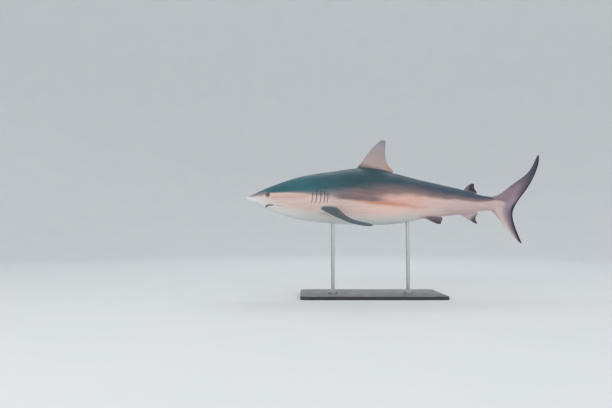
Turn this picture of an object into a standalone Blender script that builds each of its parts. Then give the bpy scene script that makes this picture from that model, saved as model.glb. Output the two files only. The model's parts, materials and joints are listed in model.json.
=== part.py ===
"""A life-size reef shark, gliding with its tail swept round, on a display stand with two rods.

The head points along -X, the left side faces -Y, and the stand's underside is at z = 0.
The fish is first shaped straight, in fish coordinates: x runs back from the tip of the snout,
y to the fish's right and z up. pose() then lays that straight fish along its swimming curve.
One smooth skin is grown for the whole animal, and thin cuts part it into head, trunk, fins
and tail, as the moulds of a museum cast would.
"""

from math import atan2, cos, pi, radians, sin

import bmesh
import bpy
import numpy as np
from mathutils import Matrix, Vector

# ---------------------------------------------------------------- driving dimensions, in metres
SNOUT_HEIGHT = 0.56  # height of the snout tip's line above the floor
STAND_CENTRE = 0.715  # distance behind the snout of the point that stands over the base's centre

# Swimming curve: the head turns a little to the left, the tail swings round to the right.
HEAD_TURN, HEAD_TURN_END = radians(-3.0), 0.55
TAIL_TURN, TAIL_TURN_START, TAIL_TURN_END = radians(24.0), 0.75, 1.70
TAIL_LEAN, TAIL_LEAN_START, TAIL_LEAN_END = radians(22.0), 1.15, 1.65

# Body stations: distance behind the snout, top, underside, half width, height of the widest line.
STATIONS = (
    (0.000, 0.000, 0.000, 0.000, 0.000),  # tip of the snout
    (0.020, 0.012, -0.022, 0.037, -0.004),  # rounded front of the snout
    (0.070, 0.033, -0.042, 0.067, -0.007),  # nostrils
    (0.133, 0.061, -0.069, 0.087, -0.010),  # eyes
    (0.215, 0.091, -0.102, 0.104, -0.012),  # corners of the mouth
    (0.310, 0.120, -0.1245, 0.116, -0.009),  # nape
    (0.400, 0.1375, -0.1375, 0.124, -0.005),  # gills
    (0.490, 0.150, -0.1475, 0.130, 0.000),  # pectoral fins
    (0.645, 0.1690, -0.154, 0.137, 0.003),  # front of the first dorsal fin
    (0.730, 0.1670, -0.156, 0.138, 0.002),  # deepest part of the belly
    (0.825, 0.1465, -0.153, 0.132, 0.000),  # end of the first dorsal fin
    (0.930, 0.1215, -0.141, 0.119, -0.004),  # loins
    (1.030, 0.0965, -0.1185, 0.099, -0.008),  # pelvic fins
    (1.157, 0.0700, -0.104, 0.076, -0.014),  # between pelvic and anal fins
    (1.244, 0.0555, -0.094, 0.062, -0.018),  # front of the anal fin
    (1.335, 0.0315, -0.081, 0.048, -0.023),  # end of the anal and second dorsal fins
    (1.390, 0.0190, -0.0725, 0.039, -0.026),  # narrowest part of the tail stalk
    (1.459, 0.0145, -0.0665, 0.031, -0.026),  # root of the tail fin
)
# Fullness of the section above and below its widest line: 2 is an ellipse, more is squarer.
FULLNESS = (
    (0.000, 2.0, 2.2),
    (0.133, 2.1, 2.6),
    (0.310, 2.0, 2.4),
    (0.645, 1.86, 2.15),
    (1.244, 1.86, 2.0),
    (1.459, 2.0, 2.0),
)
# Rings of the control cage along the body, with rings at both ends of every fin's base.
RINGS = (
    0.008, 0.032, 0.070, 0.112, 0.155, 0.200, 0.250, 0.310, 0.372, 0.424, 0.451, 0.478,
    0.506, 0.574, 0.645, 0.704, 0.762, 0.820, 0.900, 0.985, 1.032, 1.080, 1.160, 1.244, 1.277, 1.306,
    1.335, 1.395, 1.459,
)  # fmt: skip
# Columns of the cage round one side, in degrees from the middle of the back.
COLUMNS = (0, 10, 26, 44, 63, 84, 103, 115, 128, 146, 163, 180)

# Fins: each edge runs from root to tip as (share of the way, x, distance out from the body).
# "aim" is the way out of the body, in degrees round from straight up; "droop" is how steeply the
# rear edge hangs below the front one near the root, and "twist" how soon that turns round towards
# the tip; "curl" bows the blade downwards between root and tip; "standoff" is how far outside the
# body's skin the fin is parted from it.
FIRST_DORSAL = {
    "rings": (0.645, 0.820), "column": 0, "aim": 0, "thickness": 0.034,
    "droop": 0.0, "twist": 0.0, "curl": 0.0, "standoff": 0.008,
    "leading": ((0, 0.628, 0), (0.07, 0.645, 0.011), (0.3, 0.678, 0.055), (0.6, 0.713, 0.103),
                (0.85, 0.747, 0.141), (0.95, 0.769, 0.159), (1, 0.788, 0.169)),
    "trailing": ((0, 0.820, 0), (0.05, 0.868, 0.003), (0.16, 0.833, 0.019), (0.34, 0.810, 0.045),
                 (0.73, 0.806, 0.120), (0.92, 0.810, 0.150), (1, 0.806, 0.167)),
    "levels": (0.05, 0.16, 0.34, 0.55, 0.76, 0.92, 1.0),
}  # fmt: skip
SECOND_DORSAL = {
    "rings": (1.277, 1.335), "column": 0, "aim": 0, "thickness": 0.013,
    "droop": 0.0, "twist": 0.0, "curl": 0.0, "standoff": 0.007,
    "leading": ((0, 1.272, 0), (0.45, 1.290, 0.029), (0.8, 1.316, 0.046), (1, 1.334, 0.053)),
    "trailing": ((0, 1.335, 0), (0.1, 1.380, 0.004), (0.35, 1.354, 0.014), (0.7, 1.350, 0.034),
                 (1, 1.354, 0.052)),
    "levels": (0.10, 0.38, 0.74, 1.0),
}  # fmt: skip
ANAL = {
    "rings": (1.244, 1.335), "column": 11, "aim": 180, "thickness": 0.014,
    "droop": 0.0, "twist": 0.0, "curl": 0.0, "standoff": 0.007,
    "leading": ((0, 1.244, 0), (0.5, 1.288, 0.030), (0.85, 1.322, 0.053), (1, 1.338, 0.061)),
    "trailing": ((0, 1.335, 0), (0.1, 1.370, 0.005), (0.35, 1.342, 0.015), (0.7, 1.337, 0.036),
                 (1, 1.350, 0.061)),
    "levels": (0.10, 0.38, 0.74, 1.0),
}  # fmt: skip
PECTORAL = {
    "rings": (0.424, 0.506), "column": 7, "aim": {"left": 111, "right": 100}, "thickness": 0.029,
    "droop": 0.27, "twist": 1.9, "curl": 0.054, "standoff": 0.013,
    "leading": ((0, 0.424, 0), (0.25, 0.478, 0.072), (0.5, 0.535, 0.146), (0.75, 0.580, 0.218),
                (0.93, 0.636, 0.272), (1, 0.670, 0.290)),
    "trailing": ((0, 0.510, 0), (0.06, 0.546, 0.020), (0.15, 0.570, 0.048), (0.35, 0.587, 0.112),
                 (0.60, 0.626, 0.185), (0.85, 0.673, 0.258), (1, 0.686, 0.288)),
    "levels": (0.05, 0.16, 0.34, 0.55, 0.76, 0.92, 1.0),
}  # fmt: skip
PELVIC = {
    "rings": (0.985, 1.080), "column": 9, "aim": {"left": 137, "right": 100}, "thickness": 0.016,
    "droop": 0.30, "twist": 1.0, "curl": 0.0, "standoff": 0.007,
    "leading": ((0, 0.994, 0), (0.4, 1.016, 0.031), (0.8, 1.046, 0.060), (1, 1.070, 0.073)),
    "trailing": ((0, 1.080, 0), (0.1, 1.127, 0.005), (0.25, 1.135, 0.014), (0.45, 1.103, 0.032),
                 (1, 1.088, 0.073)),
    "levels": (0.10, 0.38, 0.74, 1.0),
}  # fmt: skip
FIN_EDGE = 0.0022  # thickness of every fin at its edge

# Tail fin, in the plane of the tail: share of the way along the edge, x, z.
TAIL_UPPER_EDGE = (
    (0, 1.459, 0.0145), (0.10, 1.508, 0.026), (0.38, 1.654, 0.115), (0.55, 1.744, 0.166),
    (0.72, 1.838, 0.214), (0.88, 1.940, 0.300), (1, 2.034, 0.436),
)  # fmt: skip
TAIL_LOWER_EDGE = (
    (0, 1.459, -0.0665), (0.30, 1.490, -0.128), (0.58, 1.520, -0.190), (0.85, 1.562, -0.268),
    (1, 1.598, -0.325),
)  # fmt: skip
TAIL_REAR_EDGE = (
    (0, 2.037, 0.436), (0.08, 1.999, 0.316), (0.14, 1.961, 0.264), (0.26, 1.885, 0.176),
    (0.40, 1.773, 0.076), (0.52, 1.664, -0.012), (0.62, 1.597, -0.074), (0.74, 1.584, -0.150),
    (0.88, 1.591, -0.238), (1, 1.603, -0.325),
)  # fmt: skip
TAIL_ROWS = (0.10, 0.24, 0.42, 0.62, 0.82, 1.0)
TAIL_ROOT_HALF, TAIL_MIDDLE_HALF = 0.030, 0.006
KEPT_FACES = 0.44  # share of the smooth skin's triangles that its solids keep, fewest where flattest

# Head: eyes, mouth, gill slits and nostrils.
EYE = (0.139, 0.008)  # x, z
EYE_RADIUS, EYE_DEPTH, BALL_FINENESS = 0.0225, 0.0185, 3
MOUTH_LINE = (
    (0.108, -0.072), (0.118, -0.0625), (0.130, -0.0535), (0.148, -0.048), (0.185, -0.050),
    (0.236, -0.062), (0.240, -0.160),
)  # fmt: skip
GILL_SLITS = (0.384, 0.406, 0.430, 0.451, 0.468)
GILL_TOP, GILL_BOTTOM, GILL_DEPTH, GILL_WIDTH = 0.030, -0.036, 0.004, 0.0024
GILL_SLANT, GILL_CUT_REACH = radians(3), 0.02
NOSTRIL = (0.070, 0.050, -0.034)
NOSTRIL_SIZE, NOSTRIL_SLANT = (0.004, 0.020, 0.014), radians(35)

# Where the body is parted, and the width of every parting cut.
CUT = 0.0004
PARTINGS = (0.360, 0.600, 0.945, 1.200)
TAIL_ROOT, TAIL_ROOT_MIDDLE, TAIL_FORK, TAIL_LOBE_CUT = 1.459, -0.026, (1.597, -0.074), 0.170
BODY_CUT_SIDE, TAIL_CUT_SIDE, MOUTH_CUT_WIDTH, ROD_CUT_REACH = 0.6, 0.2, 0.4, 0.05
# The flat cut under a fin: its width, and its length and backward shift as shares of the fin's base.
FIN_CUT_WIDTH, FIN_CUT_LENGTH, FIN_CUT_SHIFT = 0.12, 1.9, 0.30

# Stand.
BASE_LENGTH, BASE_WIDTH, BASE_THICKNESS, BASE_CORNER = 0.80, 0.42, 0.018, 0.03
BASE_CORNER_STEPS, EDGE_BEVEL, EDGE_BEVEL_STEPS = 5, 0.003, 2
ROD_RADIUS, ROD_SUNK = 0.010, 0.025
ROD_STATIONS = {"front": 0.500, "rear": 0.930}
COLLAR_RADIUS, COLLAR_HEIGHT = 0.026, 0.012
ROUND_SIDES = 20
GAP = 0.0003  # clearance left where two pieces touch

# Finishes: colour, roughness, metallic.
FINISHES = {
    "back_skin": ((0.075, 0.085, 0.088), 0.42, 0.0),
    "flank_skin": ((0.36, 0.32, 0.30), 0.42, 0.0),
    "belly_skin": ((0.62, 0.60, 0.57), 0.42, 0.0),
    "fin_skin": ((0.20, 0.18, 0.18), 0.45, 0.0),
    "eye": ((0.02, 0.02, 0.022), 0.10, 0.0),
    "base_plate": ((0.035, 0.036, 0.038), 0.45, 0.0),
    "steel": ((0.60, 0.60, 0.61), 0.28, 1.0),
}

# Every piece of the fish: a point well inside it (x, y, z of the straight fish) and its finish.
PIECES = {
    "head": ((0.200, 0.0, 0.010), "flank_skin"),
    "lower_jaw": ((0.190, 0.0, -0.072), "belly_skin"),
    "gill_section": ((0.480, 0.0, 0.0), "flank_skin"),
    "trunk": ((0.770, 0.0, 0.0), "flank_skin"),
    "loins": ((1.070, 0.0, -0.010), "flank_skin"),
    "tail_stalk": ((1.320, 0.0, -0.025), "flank_skin"),
    "caudal_fin_upper": ((1.700, 0.0, 0.090), "fin_skin"),
    "caudal_fin_lower": ((1.545, 0.0, -0.160), "fin_skin"),
    "dorsal_fin_first": ((0.765, 0.0, 0.240), "fin_skin"),
    "dorsal_fin_second": ((1.325, 0.0, 0.060), "fin_skin"),
    "anal_fin": ((1.315, 0.0, -0.110), "fin_skin"),
    "pectoral_fin_left": ((0.560, -0.220, -0.110), "fin_skin"),
    "pectoral_fin_right": ((0.560, 0.220, -0.110), "fin_skin"),
    "pelvic_fin_left": ((1.100, -0.090, -0.120), "fin_skin"),
    "pelvic_fin_right": ((1.100, 0.090, -0.120), "fin_skin"),
}

SIDES = {"left": -1, "right": 1}


# ---------------------------------------------------------------- curves
def through(at, knots):
    """The smooth curve through knots, each (x, value, ...), at one x or at an array of them."""
    knots = np.asarray(knots, float)
    x, y = knots[:, 0], knots[:, 1:]
    at = np.clip(np.asarray(at, float), x[0], x[-1])
    step = np.diff(x)
    slope = np.diff(y, axis=0) / step[:, None]
    before, after = slope[:-1], slope[1:]
    bends_on = before * after > 0
    total = np.where(bends_on, before + after, 1.0)
    tangent = np.vstack([slope[:1], np.where(bends_on, 2 * before * after / total, 0), slope[-1:]])
    i = np.clip(np.searchsorted(x, at, side="right") - 1, 0, len(x) - 2)
    h = step[i]
    t = ((at - x[i]) / h)[..., None]
    h = np.asarray(h)[..., None]
    rise = (2 * t**3 - 3 * t**2 + 1) * y[i] + (3 * t**2 - 2 * t**3) * y[i + 1]
    return rise + h * ((t**3 - 2 * t**2 + t) * tangent[i] + (t**3 - t**2) * tangent[i + 1])


def ease(t):
    """0 to 1 with a soft start and a soft end."""
    t = np.clip(t, 0.0, 1.0)
    return t * t * (3.0 - 2.0 * t)


# ---------------------------------------------------------------- swimming curve
def heading(x):
    """How far the fish is turned at distance x, away from the straight line ahead."""
    head = HEAD_TURN * ease((HEAD_TURN_END - x) / HEAD_TURN_END)
    return head + TAIL_TURN * ease((x - TAIL_TURN_START) / (TAIL_TURN_END - TAIL_TURN_START))


def lean(x):
    """How far the fish is rolled over at distance x."""
    return TAIL_LEAN * ease((x - TAIL_LEAN_START) / (TAIL_LEAN_END - TAIL_LEAN_START))


STEP = 0.001
ALONG = np.arange(-0.1, 2.3, STEP)
LINE = np.cumsum(np.stack([np.cos(heading(ALONG)), np.sin(heading(ALONG))], 1) * STEP, axis=0)
LINE -= [np.interp(STAND_CENTRE, ALONG, LINE[:, 0]), np.interp(STAND_CENTRE, ALONG, LINE[:, 1])]


def axes_at(x):
    """The posed fish's own axes at distance x: back along the body, to its right, and up."""
    turn, roll = heading(x), lean(x)
    zero = np.zeros_like(turn)
    back = np.stack([np.cos(turn), np.sin(turn), zero], -1)
    flat_right = np.stack([-np.sin(turn), np.cos(turn), zero], -1)
    up = np.array([0.0, 0.0, 1.0])
    c, s = np.cos(roll)[..., None], np.sin(roll)[..., None]
    return back, c * flat_right - s * up, c * up + s * flat_right


def pose(points):
    """Points of the straight fish moved onto the swimming curve, in the model's frame."""
    points = np.asarray(points, float).reshape(-1, 3)
    x = points[:, 0]
    _, right, up = axes_at(x)
    line = np.stack(
        [np.interp(x, ALONG, LINE[:, 0]), np.interp(x, ALONG, LINE[:, 1]), 0 * x + SNOUT_HEIGHT], 1
    )
    return line + points[:, 1:2] * right + points[:, 2:3] * up


def frame_at(x):
    """The rigid frame of the posed fish at distance x, for tools that cut it."""
    back, right, up = axes_at(np.array([x]))
    frame = Matrix.Identity(4)
    for column, axis in enumerate((back[0], right[0], up[0])):
        frame.col[column][:3] = axis
    frame.translation = Vector(pose([(x, 0, 0)])[0])
    return frame


# ---------------------------------------------------------------- the body's surface
def section(x):
    """Top, underside, half width and height of the widest line at distance x."""
    knots = [(station[0] ** 0.5, *station[1:]) for station in STATIONS]
    return through(np.maximum(x, 0.0) ** 0.5, knots)


def surface(x, degrees):
    """The point of the body at distance x, so many degrees round from the middle of the back."""
    top, underside, half_width, widest = section(x)
    above, below = through(x, FULLNESS)
    angle = radians(degrees)
    rise, power = (top - widest, above) if cos(angle) >= 0 else (widest - underside, below)
    sideways = abs(sin(angle)) ** (2.0 / power)
    upwards = abs(cos(angle)) ** (2.0 / power)
    return np.array(
        [x, np.sign(sin(angle)) * half_width * sideways, widest + np.sign(cos(angle)) * rise * upwards]
    )


def swollen(grid):
    """The cage pushed out by what smoothing takes in, so that the smooth skin has the true size."""
    across = (np.roll(grid, 1, 1) + 4 * grid + np.roll(grid, -1, 1)) / 6
    smooth = across.copy()
    smooth[1:-1] = (across[:-2] + 4 * across[1:-1] + across[2:]) / 6
    out = grid + (grid - smooth)
    out[:, :, 0] = grid[:, :, 0]
    return out


def body_cage(bm):
    """The rings of the body as cage vertices, with their faces where no fin grows."""
    angles = list(COLUMNS) + [360 - a for a in COLUMNS[-2:0:-1]]
    points = swollen(np.array([[surface(x, a) for a in angles] for x in RINGS]))
    points[:, 0, 1] = points[:, len(COLUMNS) - 1, 1] = 0.0
    grid = [[bm.verts.new(p) for p in ring] for ring in points]
    tip = bm.verts.new((0, 0, 0))
    count = len(angles)
    for j in range(count):
        bm.faces.new((tip, grid[0][j], grid[0][(j + 1) % count]))
    rooted = fin_roots(count)
    for i in range(len(RINGS) - 1):
        for j in range(count):
            if (i, j) not in rooted:
                k = (j + 1) % count
                bm.faces.new((grid[i][j], grid[i + 1][j], grid[i + 1][k], grid[i][k]))
    return grid


# ---------------------------------------------------------------- fins
def grown_fins():
    """Each fin with the side that it grows on: the midline ones once, the paired ones twice."""
    fins = [(fin, "right") for fin in (FIRST_DORSAL, SECOND_DORSAL, ANAL)]
    return fins + [(fin, side) for fin in (PECTORAL, PELVIC) for side in SIDES]


def ring_span(fin):
    return RINGS.index(fin["rings"][0]), RINGS.index(fin["rings"][1])


def fin_roots(count):
    """The cage faces, by ring and column, that the fins grow from."""
    taken = set()
    for fin, side in grown_fins():
        first, last = ring_span(fin)
        column = SIDES[side] * fin["column"]
        taken |= {(i, (column - k) % count) for i in range(first, last) for k in (0, 1)}
    return taken


def blade(share):
    """Thickness of a fin across its chord, as a share of the greatest: blunt front, fine rear."""
    return 2.6 * share**0.5 * (1.0 - share)


def fin_aim(fin, side):
    """The way out of the body along a right-hand fin, as (sideways, upwards)."""
    aim = fin["aim"][side] if isinstance(fin["aim"], dict) else fin["aim"]
    return sin(radians(aim)), cos(radians(aim))


def fin_point(fin, side, level, share, face):
    """A point of a right-hand fin: level runs root to tip, share front to rear, face is +1, -1, 0."""
    front, rear = through(level, fin["leading"]), through(level, fin["trailing"])
    x, out = front + (rear - front) * share
    degrees = COLUMNS[fin["column"]]
    middle = sum(fin["rings"]) / 2
    straight = min(1.0, 3.0 * level)
    base = (1 - straight) * surface(x, degrees) + straight * surface(middle, degrees)
    across, upward = fin_aim(fin, side)
    half = FIN_EDGE / 2 + fin["thickness"] / 2 * (1 - level) ** 0.8 * blade(share)
    tilt = fin["droop"] * min(1.0, 6.0 * level) * (1.0 - fin["twist"] * level)
    lift = face * half - tilt * (x - front[0]) - fin["curl"] * level * (1.0 - level)
    return x, base[1] + across * out - upward * lift, base[2] + upward * out + across * lift


def grow_fin(bm, grid, fin, side):
    """Draws the cage out of the fin's root, level by level, and closes it at the tip."""
    first, last = ring_span(fin)
    count, turn = len(grid[0]), SIDES[side]
    column = turn * fin["column"] % count
    front, rear = (column - turn) % count, (column + turn) % count
    rings = range(first, last + 1)
    loop = [grid[first][column]] + [grid[i][front] for i in rings]
    loop += [grid[last][column]] + [grid[i][rear] for i in reversed(rings)]
    n = last - first
    chord = [0.03] + [i / n for i in range(1, n)] + [0.97]
    stations = [(0, 0)] + [(u, 1) for u in chord] + [(1, 0)] + [(u, -1) for u in reversed(chord)]
    for level in fin["levels"]:
        points = [fin_point(fin, side, level, share, face) for share, face in stations]
        ring = [bm.verts.new((x, turn * y, z)) for x, y, z in points]
        for k in range(len(loop)):
            m = (k + 1) % len(loop)
            bm.faces.new((loop[k], loop[m], ring[m], ring[k]))
        loop = ring
    close_edge(bm, loop)


def close_edge(bm, loop):
    """Closes a flat loop, whose two faces run side by side, with a strip between them."""
    half = len(loop) // 2
    pairs = [(loop[k], loop[-k]) for k in range(1, half)]
    bm.faces.new((loop[0], pairs[0][0], pairs[0][1]))
    for (a, b), (c, d) in zip(pairs, pairs[1:]):
        bm.faces.new((a, c, d, b))
    bm.faces.new((pairs[-1][0], loop[half], pairs[-1][1]))


def tail_point(row, share):
    """Half of the tail fin: row runs from its root to its rear edge, share from top to bottom."""
    upper, lower = through(row, TAIL_UPPER_EDGE), through(row, TAIL_LOWER_EDGE)
    start, end = np.array(TAIL_UPPER_EDGE[0][1:]), np.array(TAIL_LOWER_EDGE[0][1:])
    top_tip, low_tip = np.array(TAIL_REAR_EDGE[0][1:]), np.array(TAIL_REAR_EDGE[-1][1:])
    root = start + (end - start) * share
    rear = through(share, TAIL_REAR_EDGE)
    sides = (1 - share) * upper + share * lower
    ends = (1 - row) * root + row * rear
    corners = (1 - row) * ((1 - share) * start + share * end)
    corners = corners + row * ((1 - share) * top_tip + share * low_tip)
    x, z = sides + ends - corners
    away = 1 - row
    half = TAIL_ROOT_HALF * away**2.5 + TAIL_MIDDLE_HALF * away
    return x, half * sin(pi * share) ** 0.6 + FIN_EDGE / 2, z


def grow_tail(bm, loop):
    """Draws the cage out of the last ring of the body, flattening it into the tail fin."""
    count = len(loop)
    half = count // 2
    shares = [j / half for j in range(half + 1)]
    for row in TAIL_ROWS:
        points = [tail_point(row, share) for share in shares]
        ring = [bm.verts.new((x, 0 if j in (0, half) else y, z)) for j, (x, y, z) in enumerate(points)]
        ring += [bm.verts.new((x, -y, z)) for x, y, z in reversed(points[1:-1])]
        for k in range(count):
            m = (k + 1) % count
            bm.faces.new((loop[k], loop[m], ring[m], ring[k]))
        loop = ring
    close_edge(bm, loop)


# ---------------------------------------------------------------- objects and cutters
def finish(name):
    """The named finish as a material, made once."""
    if name in bpy.data.materials:
        return bpy.data.materials[name]
    colour, roughness, metallic = FINISHES[name]
    material = bpy.data.materials.new(name)
    material.use_nodes = True
    shader = material.node_tree.nodes["Principled BSDF"]
    shader.inputs["Base Color"].default_value = (*colour, 1)
    shader.inputs["Roughness"].default_value = roughness
    shader.inputs["Metallic"].default_value = metallic
    return material


def add_object(name, bm, finish_name=None):
    """A mesh object from bm. Without a finish it is a cutter, which no picture shows."""
    bmesh.ops.recalc_face_normals(bm, faces=bm.faces)
    if bm.calc_volume(signed=True) < 0:
        bmesh.ops.reverse_faces(bm, faces=bm.faces)
    mesh = bpy.data.meshes.new(name)
    bm.to_mesh(mesh)
    bm.free()
    obj = bpy.data.objects.new(name, mesh)
    bpy.context.scene.collection.objects.link(obj)
    if finish_name:
        mesh.materials.append(finish(finish_name))
        mesh.shade_smooth()
        mesh.set_sharp_from_angle(angle=radians(40))
    else:
        obj.hide_render = True
        obj.display_type = "WIRE"
    return obj


def evaluated(obj):
    """A copy of the object's mesh with its modifiers applied."""
    bpy.context.view_layer.update()
    graph = bpy.context.evaluated_depsgraph_get()
    return bpy.data.meshes.new_from_object(obj.evaluated_get(graph))


def box_cutter(name, station, placing, size):
    """A box-shaped cutter of a size, placed in the fish's frame at a station."""
    bm = bmesh.new()
    bmesh.ops.create_cube(bm, size=1.0)
    bm.transform(frame_at(station) @ placing @ Matrix.Diagonal((*size, 1)))
    return add_object(name, bm)


def fin_slab(name, fin, side):
    """The cut that parts a fin from the body, flat along the root and just outside the skin."""
    front, rear = fin["rings"]
    degrees = COLUMNS[fin["column"]]
    start, end = (Vector(surface(x, degrees)) for x in (front, rear))
    for point in (start, end):
        point.y *= SIDES[side]
    along = (end - start).normalized()
    outward = Vector((0, SIDES[side] * sin(radians(degrees)), cos(radians(degrees))))
    outward = (outward - along * outward.dot(along)).normalized()
    length = FIN_CUT_LENGTH * (rear - front)
    middle = start.lerp(end, 0.5)
    centre = middle + FIN_CUT_SHIFT * (rear - front) * along + fin["standoff"] * outward
    station = middle.x
    centre.x -= station
    axes = Matrix((along, outward.cross(along), outward)).transposed().to_4x4()
    return box_cutter(name, station, Matrix.Translation(centre) @ axes, (length, FIN_CUT_WIDTH, CUT))


def ribbon(name, line, station, width):
    """A thin strip across the fish that follows line, a list of (x, z)."""
    bm = bmesh.new()
    rows = []
    for y in (-width / 2, width / 2):
        rows.append([bm.verts.new((x - station, y, z)) for x, z in line])
    for a, b, c, d in zip(rows[0], rows[0][1:], rows[1][1:], rows[1]):
        bm.faces.new((a, b, c, d))
    bmesh.ops.recalc_face_normals(bm, faces=bm.faces)
    bmesh.ops.solidify(bm, geom=bm.faces[:], thickness=CUT)
    bm.transform(frame_at(station))
    return add_object(name, bm)


def ball(name, centre, radius, finish_name=None):
    """A fine ball in the fish's frame."""
    bm = bmesh.new()
    bmesh.ops.create_icosphere(bm, subdivisions=BALL_FINENESS, radius=radius)
    bm.transform(Matrix.Translation(Vector(pose([centre])[0])))
    return add_object(name, bm, finish_name)


def upright(name, x, y, bottom, top, radius, finish_name=None):
    """A round upright bar in the model's frame."""
    bm = bmesh.new()
    bmesh.ops.create_cone(
        bm, cap_ends=True, segments=ROUND_SIDES, radius1=radius, radius2=radius, depth=top - bottom
    )
    bm.transform(Matrix.Translation((x, y, (top + bottom) / 2)))
    return add_object(name, bm, finish_name)


# ---------------------------------------------------------------- the cuts
def eye_centre(side):
    """The middle of the eyeball, set into the head from the skin beside it."""
    x, z = EYE
    return x, side * (side_skin(x, z) - EYE_DEPTH), z


def side_skin(x, z):
    """Half the body's width at distance x and height z."""
    top, underside, half_width, widest = section(x)
    above, below = through(x, FULLNESS)
    rise, power = (top - widest, above) if z >= widest else (widest - underside, below)
    return half_width * (1 - (abs(z - widest) / rise) ** power) ** (1 / power)


def gill_cutters():
    """Five slits on each side, each leaning a little forward at its lower end."""
    made = []
    middle, height = (GILL_TOP + GILL_BOTTOM) / 2, GILL_TOP - GILL_BOTTOM
    for side_name, side in SIDES.items():
        for number, x in enumerate(GILL_SLITS, start=1):
            narrowest = min(side_skin(x, GILL_TOP), side_skin(x, GILL_BOTTOM))
            y = side * (narrowest - GILL_DEPTH + GILL_CUT_REACH / 2)
            size = (GILL_WIDTH, GILL_CUT_REACH, height)
            placing = Matrix.Translation((0, y, middle)) @ Matrix.Rotation(GILL_SLANT, 4, "Y")
            made.append(box_cutter(f"cut_gill_{side_name}_{number}", x, placing, size))
    return made


def nostril_cutters():
    """A slanting slit on each side of the snout's underside."""
    made = []
    x, y, z = NOSTRIL
    for side_name, side in SIDES.items():
        placing = Matrix.Translation((0, side * y, z)) @ Matrix.Rotation(side * NOSTRIL_SLANT, 4, "Z")
        made.append(box_cutter(f"cut_nostril_{side_name}", x, placing, NOSTRIL_SIZE))
    return made


def rod_places():
    """Where each rod stands, and the height of the belly's skin above it."""
    belly = {name: (x, 0, section(x)[1]) for name, x in ROD_STATIONS.items()}
    return {name: tuple(pose([point])[0]) for name, point in belly.items()}


def body_cutters():
    """The cuts across the body, across the tail's root and between the tail's two lobes."""
    size = (CUT, BODY_CUT_SIDE, BODY_CUT_SIDE)
    made = [
        box_cutter(f"cut_body_{k}", x, Matrix.Identity(4), size) for k, x in enumerate(PARTINGS)
    ]
    x, z = TAIL_FORK
    slope = atan2(TAIL_ROOT_MIDDLE - z, x - TAIL_ROOT)
    half = TAIL_LOBE_CUT / 2
    centre = (half * cos(slope), 0, TAIL_ROOT_MIDDLE - half * sin(slope))
    placing = Matrix.Translation(centre) @ Matrix.Rotation(slope, 4, "Y")
    size = (TAIL_LOBE_CUT, TAIL_CUT_SIDE, CUT)
    made.append(box_cutter("cut_tail_lobes", TAIL_ROOT, placing, size))
    middle = Matrix.Translation((0, 0, TAIL_ROOT_MIDDLE))
    size = (CUT, TAIL_CUT_SIDE, TAIL_CUT_SIDE)
    made.append(box_cutter("cut_tail_root", TAIL_ROOT, middle, size))
    return made


def all_cutters():
    """Every tool that parts or marks the fish."""
    cutters = body_cutters()
    cutters.append(ribbon("cut_mouth", MOUTH_LINE, MOUTH_LINE[0][0], MOUTH_CUT_WIDTH))
    for name, fin in (("first_dorsal", FIRST_DORSAL), ("second_dorsal", SECOND_DORSAL), ("anal", ANAL)):
        cutters.append(fin_slab(f"cut_{name}", fin, "right"))
    for side_name, side in SIDES.items():
        cutters.append(fin_slab(f"cut_pectoral_{side_name}", PECTORAL, side_name))
        cutters.append(fin_slab(f"cut_pelvic_{side_name}", PELVIC, side_name))
        cutters.append(ball(f"cut_eye_{side_name}", eye_centre(side), EYE_RADIUS + GAP))
    for name, (x, y, z) in rod_places().items():
        top = z + ROD_SUNK + GAP
        cutters.append(upright(f"cut_rod_{name}", x, y, z - ROD_CUT_REACH, top, ROD_RADIUS + GAP))
    return cutters + gill_cutters() + nostril_cutters()


# ---------------------------------------------------------------- the fish
def grow_fish():
    """The whole animal as one smooth closed skin, posed on its swimming curve."""
    bm = bmesh.new()
    grid = body_cage(bm)
    for fin, side in grown_fins():
        grow_fin(bm, grid, fin, side)
    grow_tail(bm, grid[-1])
    loose = [v for v in bm.verts if not v.link_faces]
    bmesh.ops.delete(bm, geom=loose, context="VERTS")
    cage = add_object("fish_cage", bm)
    smooth = cage.modifiers.new("smooth", "SUBSURF")
    smooth.levels = smooth.render_levels = 1
    lighter = cage.modifiers.new("lighter", "DECIMATE")
    lighter.ratio = KEPT_FACES
    mesh = evaluated(cage)
    bpy.data.objects.remove(cage)
    flat = np.empty(len(mesh.vertices) * 3)
    mesh.vertices.foreach_get("co", flat)
    mesh.vertices.foreach_set("co", pose(flat).ravel())
    bm = bmesh.new()
    bm.from_mesh(mesh)
    bmesh.ops.triangulate(bm, faces=bm.faces[:])
    bm.to_mesh(mesh)
    bm.free()
    return mesh


def parted(mesh, cutters):
    """The islands that are left of the skin once every cutter has been through it."""
    whole = bpy.data.objects.new("whole_fish", mesh)
    bpy.context.scene.collection.objects.link(whole)
    for cutter in cutters:
        cut = whole.modifiers.new(cutter.name, "BOOLEAN")
        cut.operation = "DIFFERENCE"
        cut.object = cutter
    result = evaluated(whole)
    bpy.data.objects.remove(whole)
    bm = bmesh.new()
    bm.from_mesh(result)
    bpy.data.meshes.remove(result)
    islands, seen = [], set()
    for start in bm.faces:
        if start in seen:
            continue
        island, front = set(), [start]
        while front:
            face = front.pop()
            if face in island:
                continue
            island.add(face)
            front += [other for edge in face.edges for other in edge.link_faces]
        seen |= island
        islands.append(island)
    return bm, islands


def island_object(name, faces, finish_name):
    """One island of the parted skin as an object of its own."""
    bm = bmesh.new()
    made = {}
    for face in sorted(faces, key=lambda f: f.index):
        corners = [made.setdefault(v, None) or bm.verts.new(v.co) for v in face.verts]
        made.update(zip(face.verts, corners))
        bm.faces.new(corners)
    return add_object(name, bm, finish_name)


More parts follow.
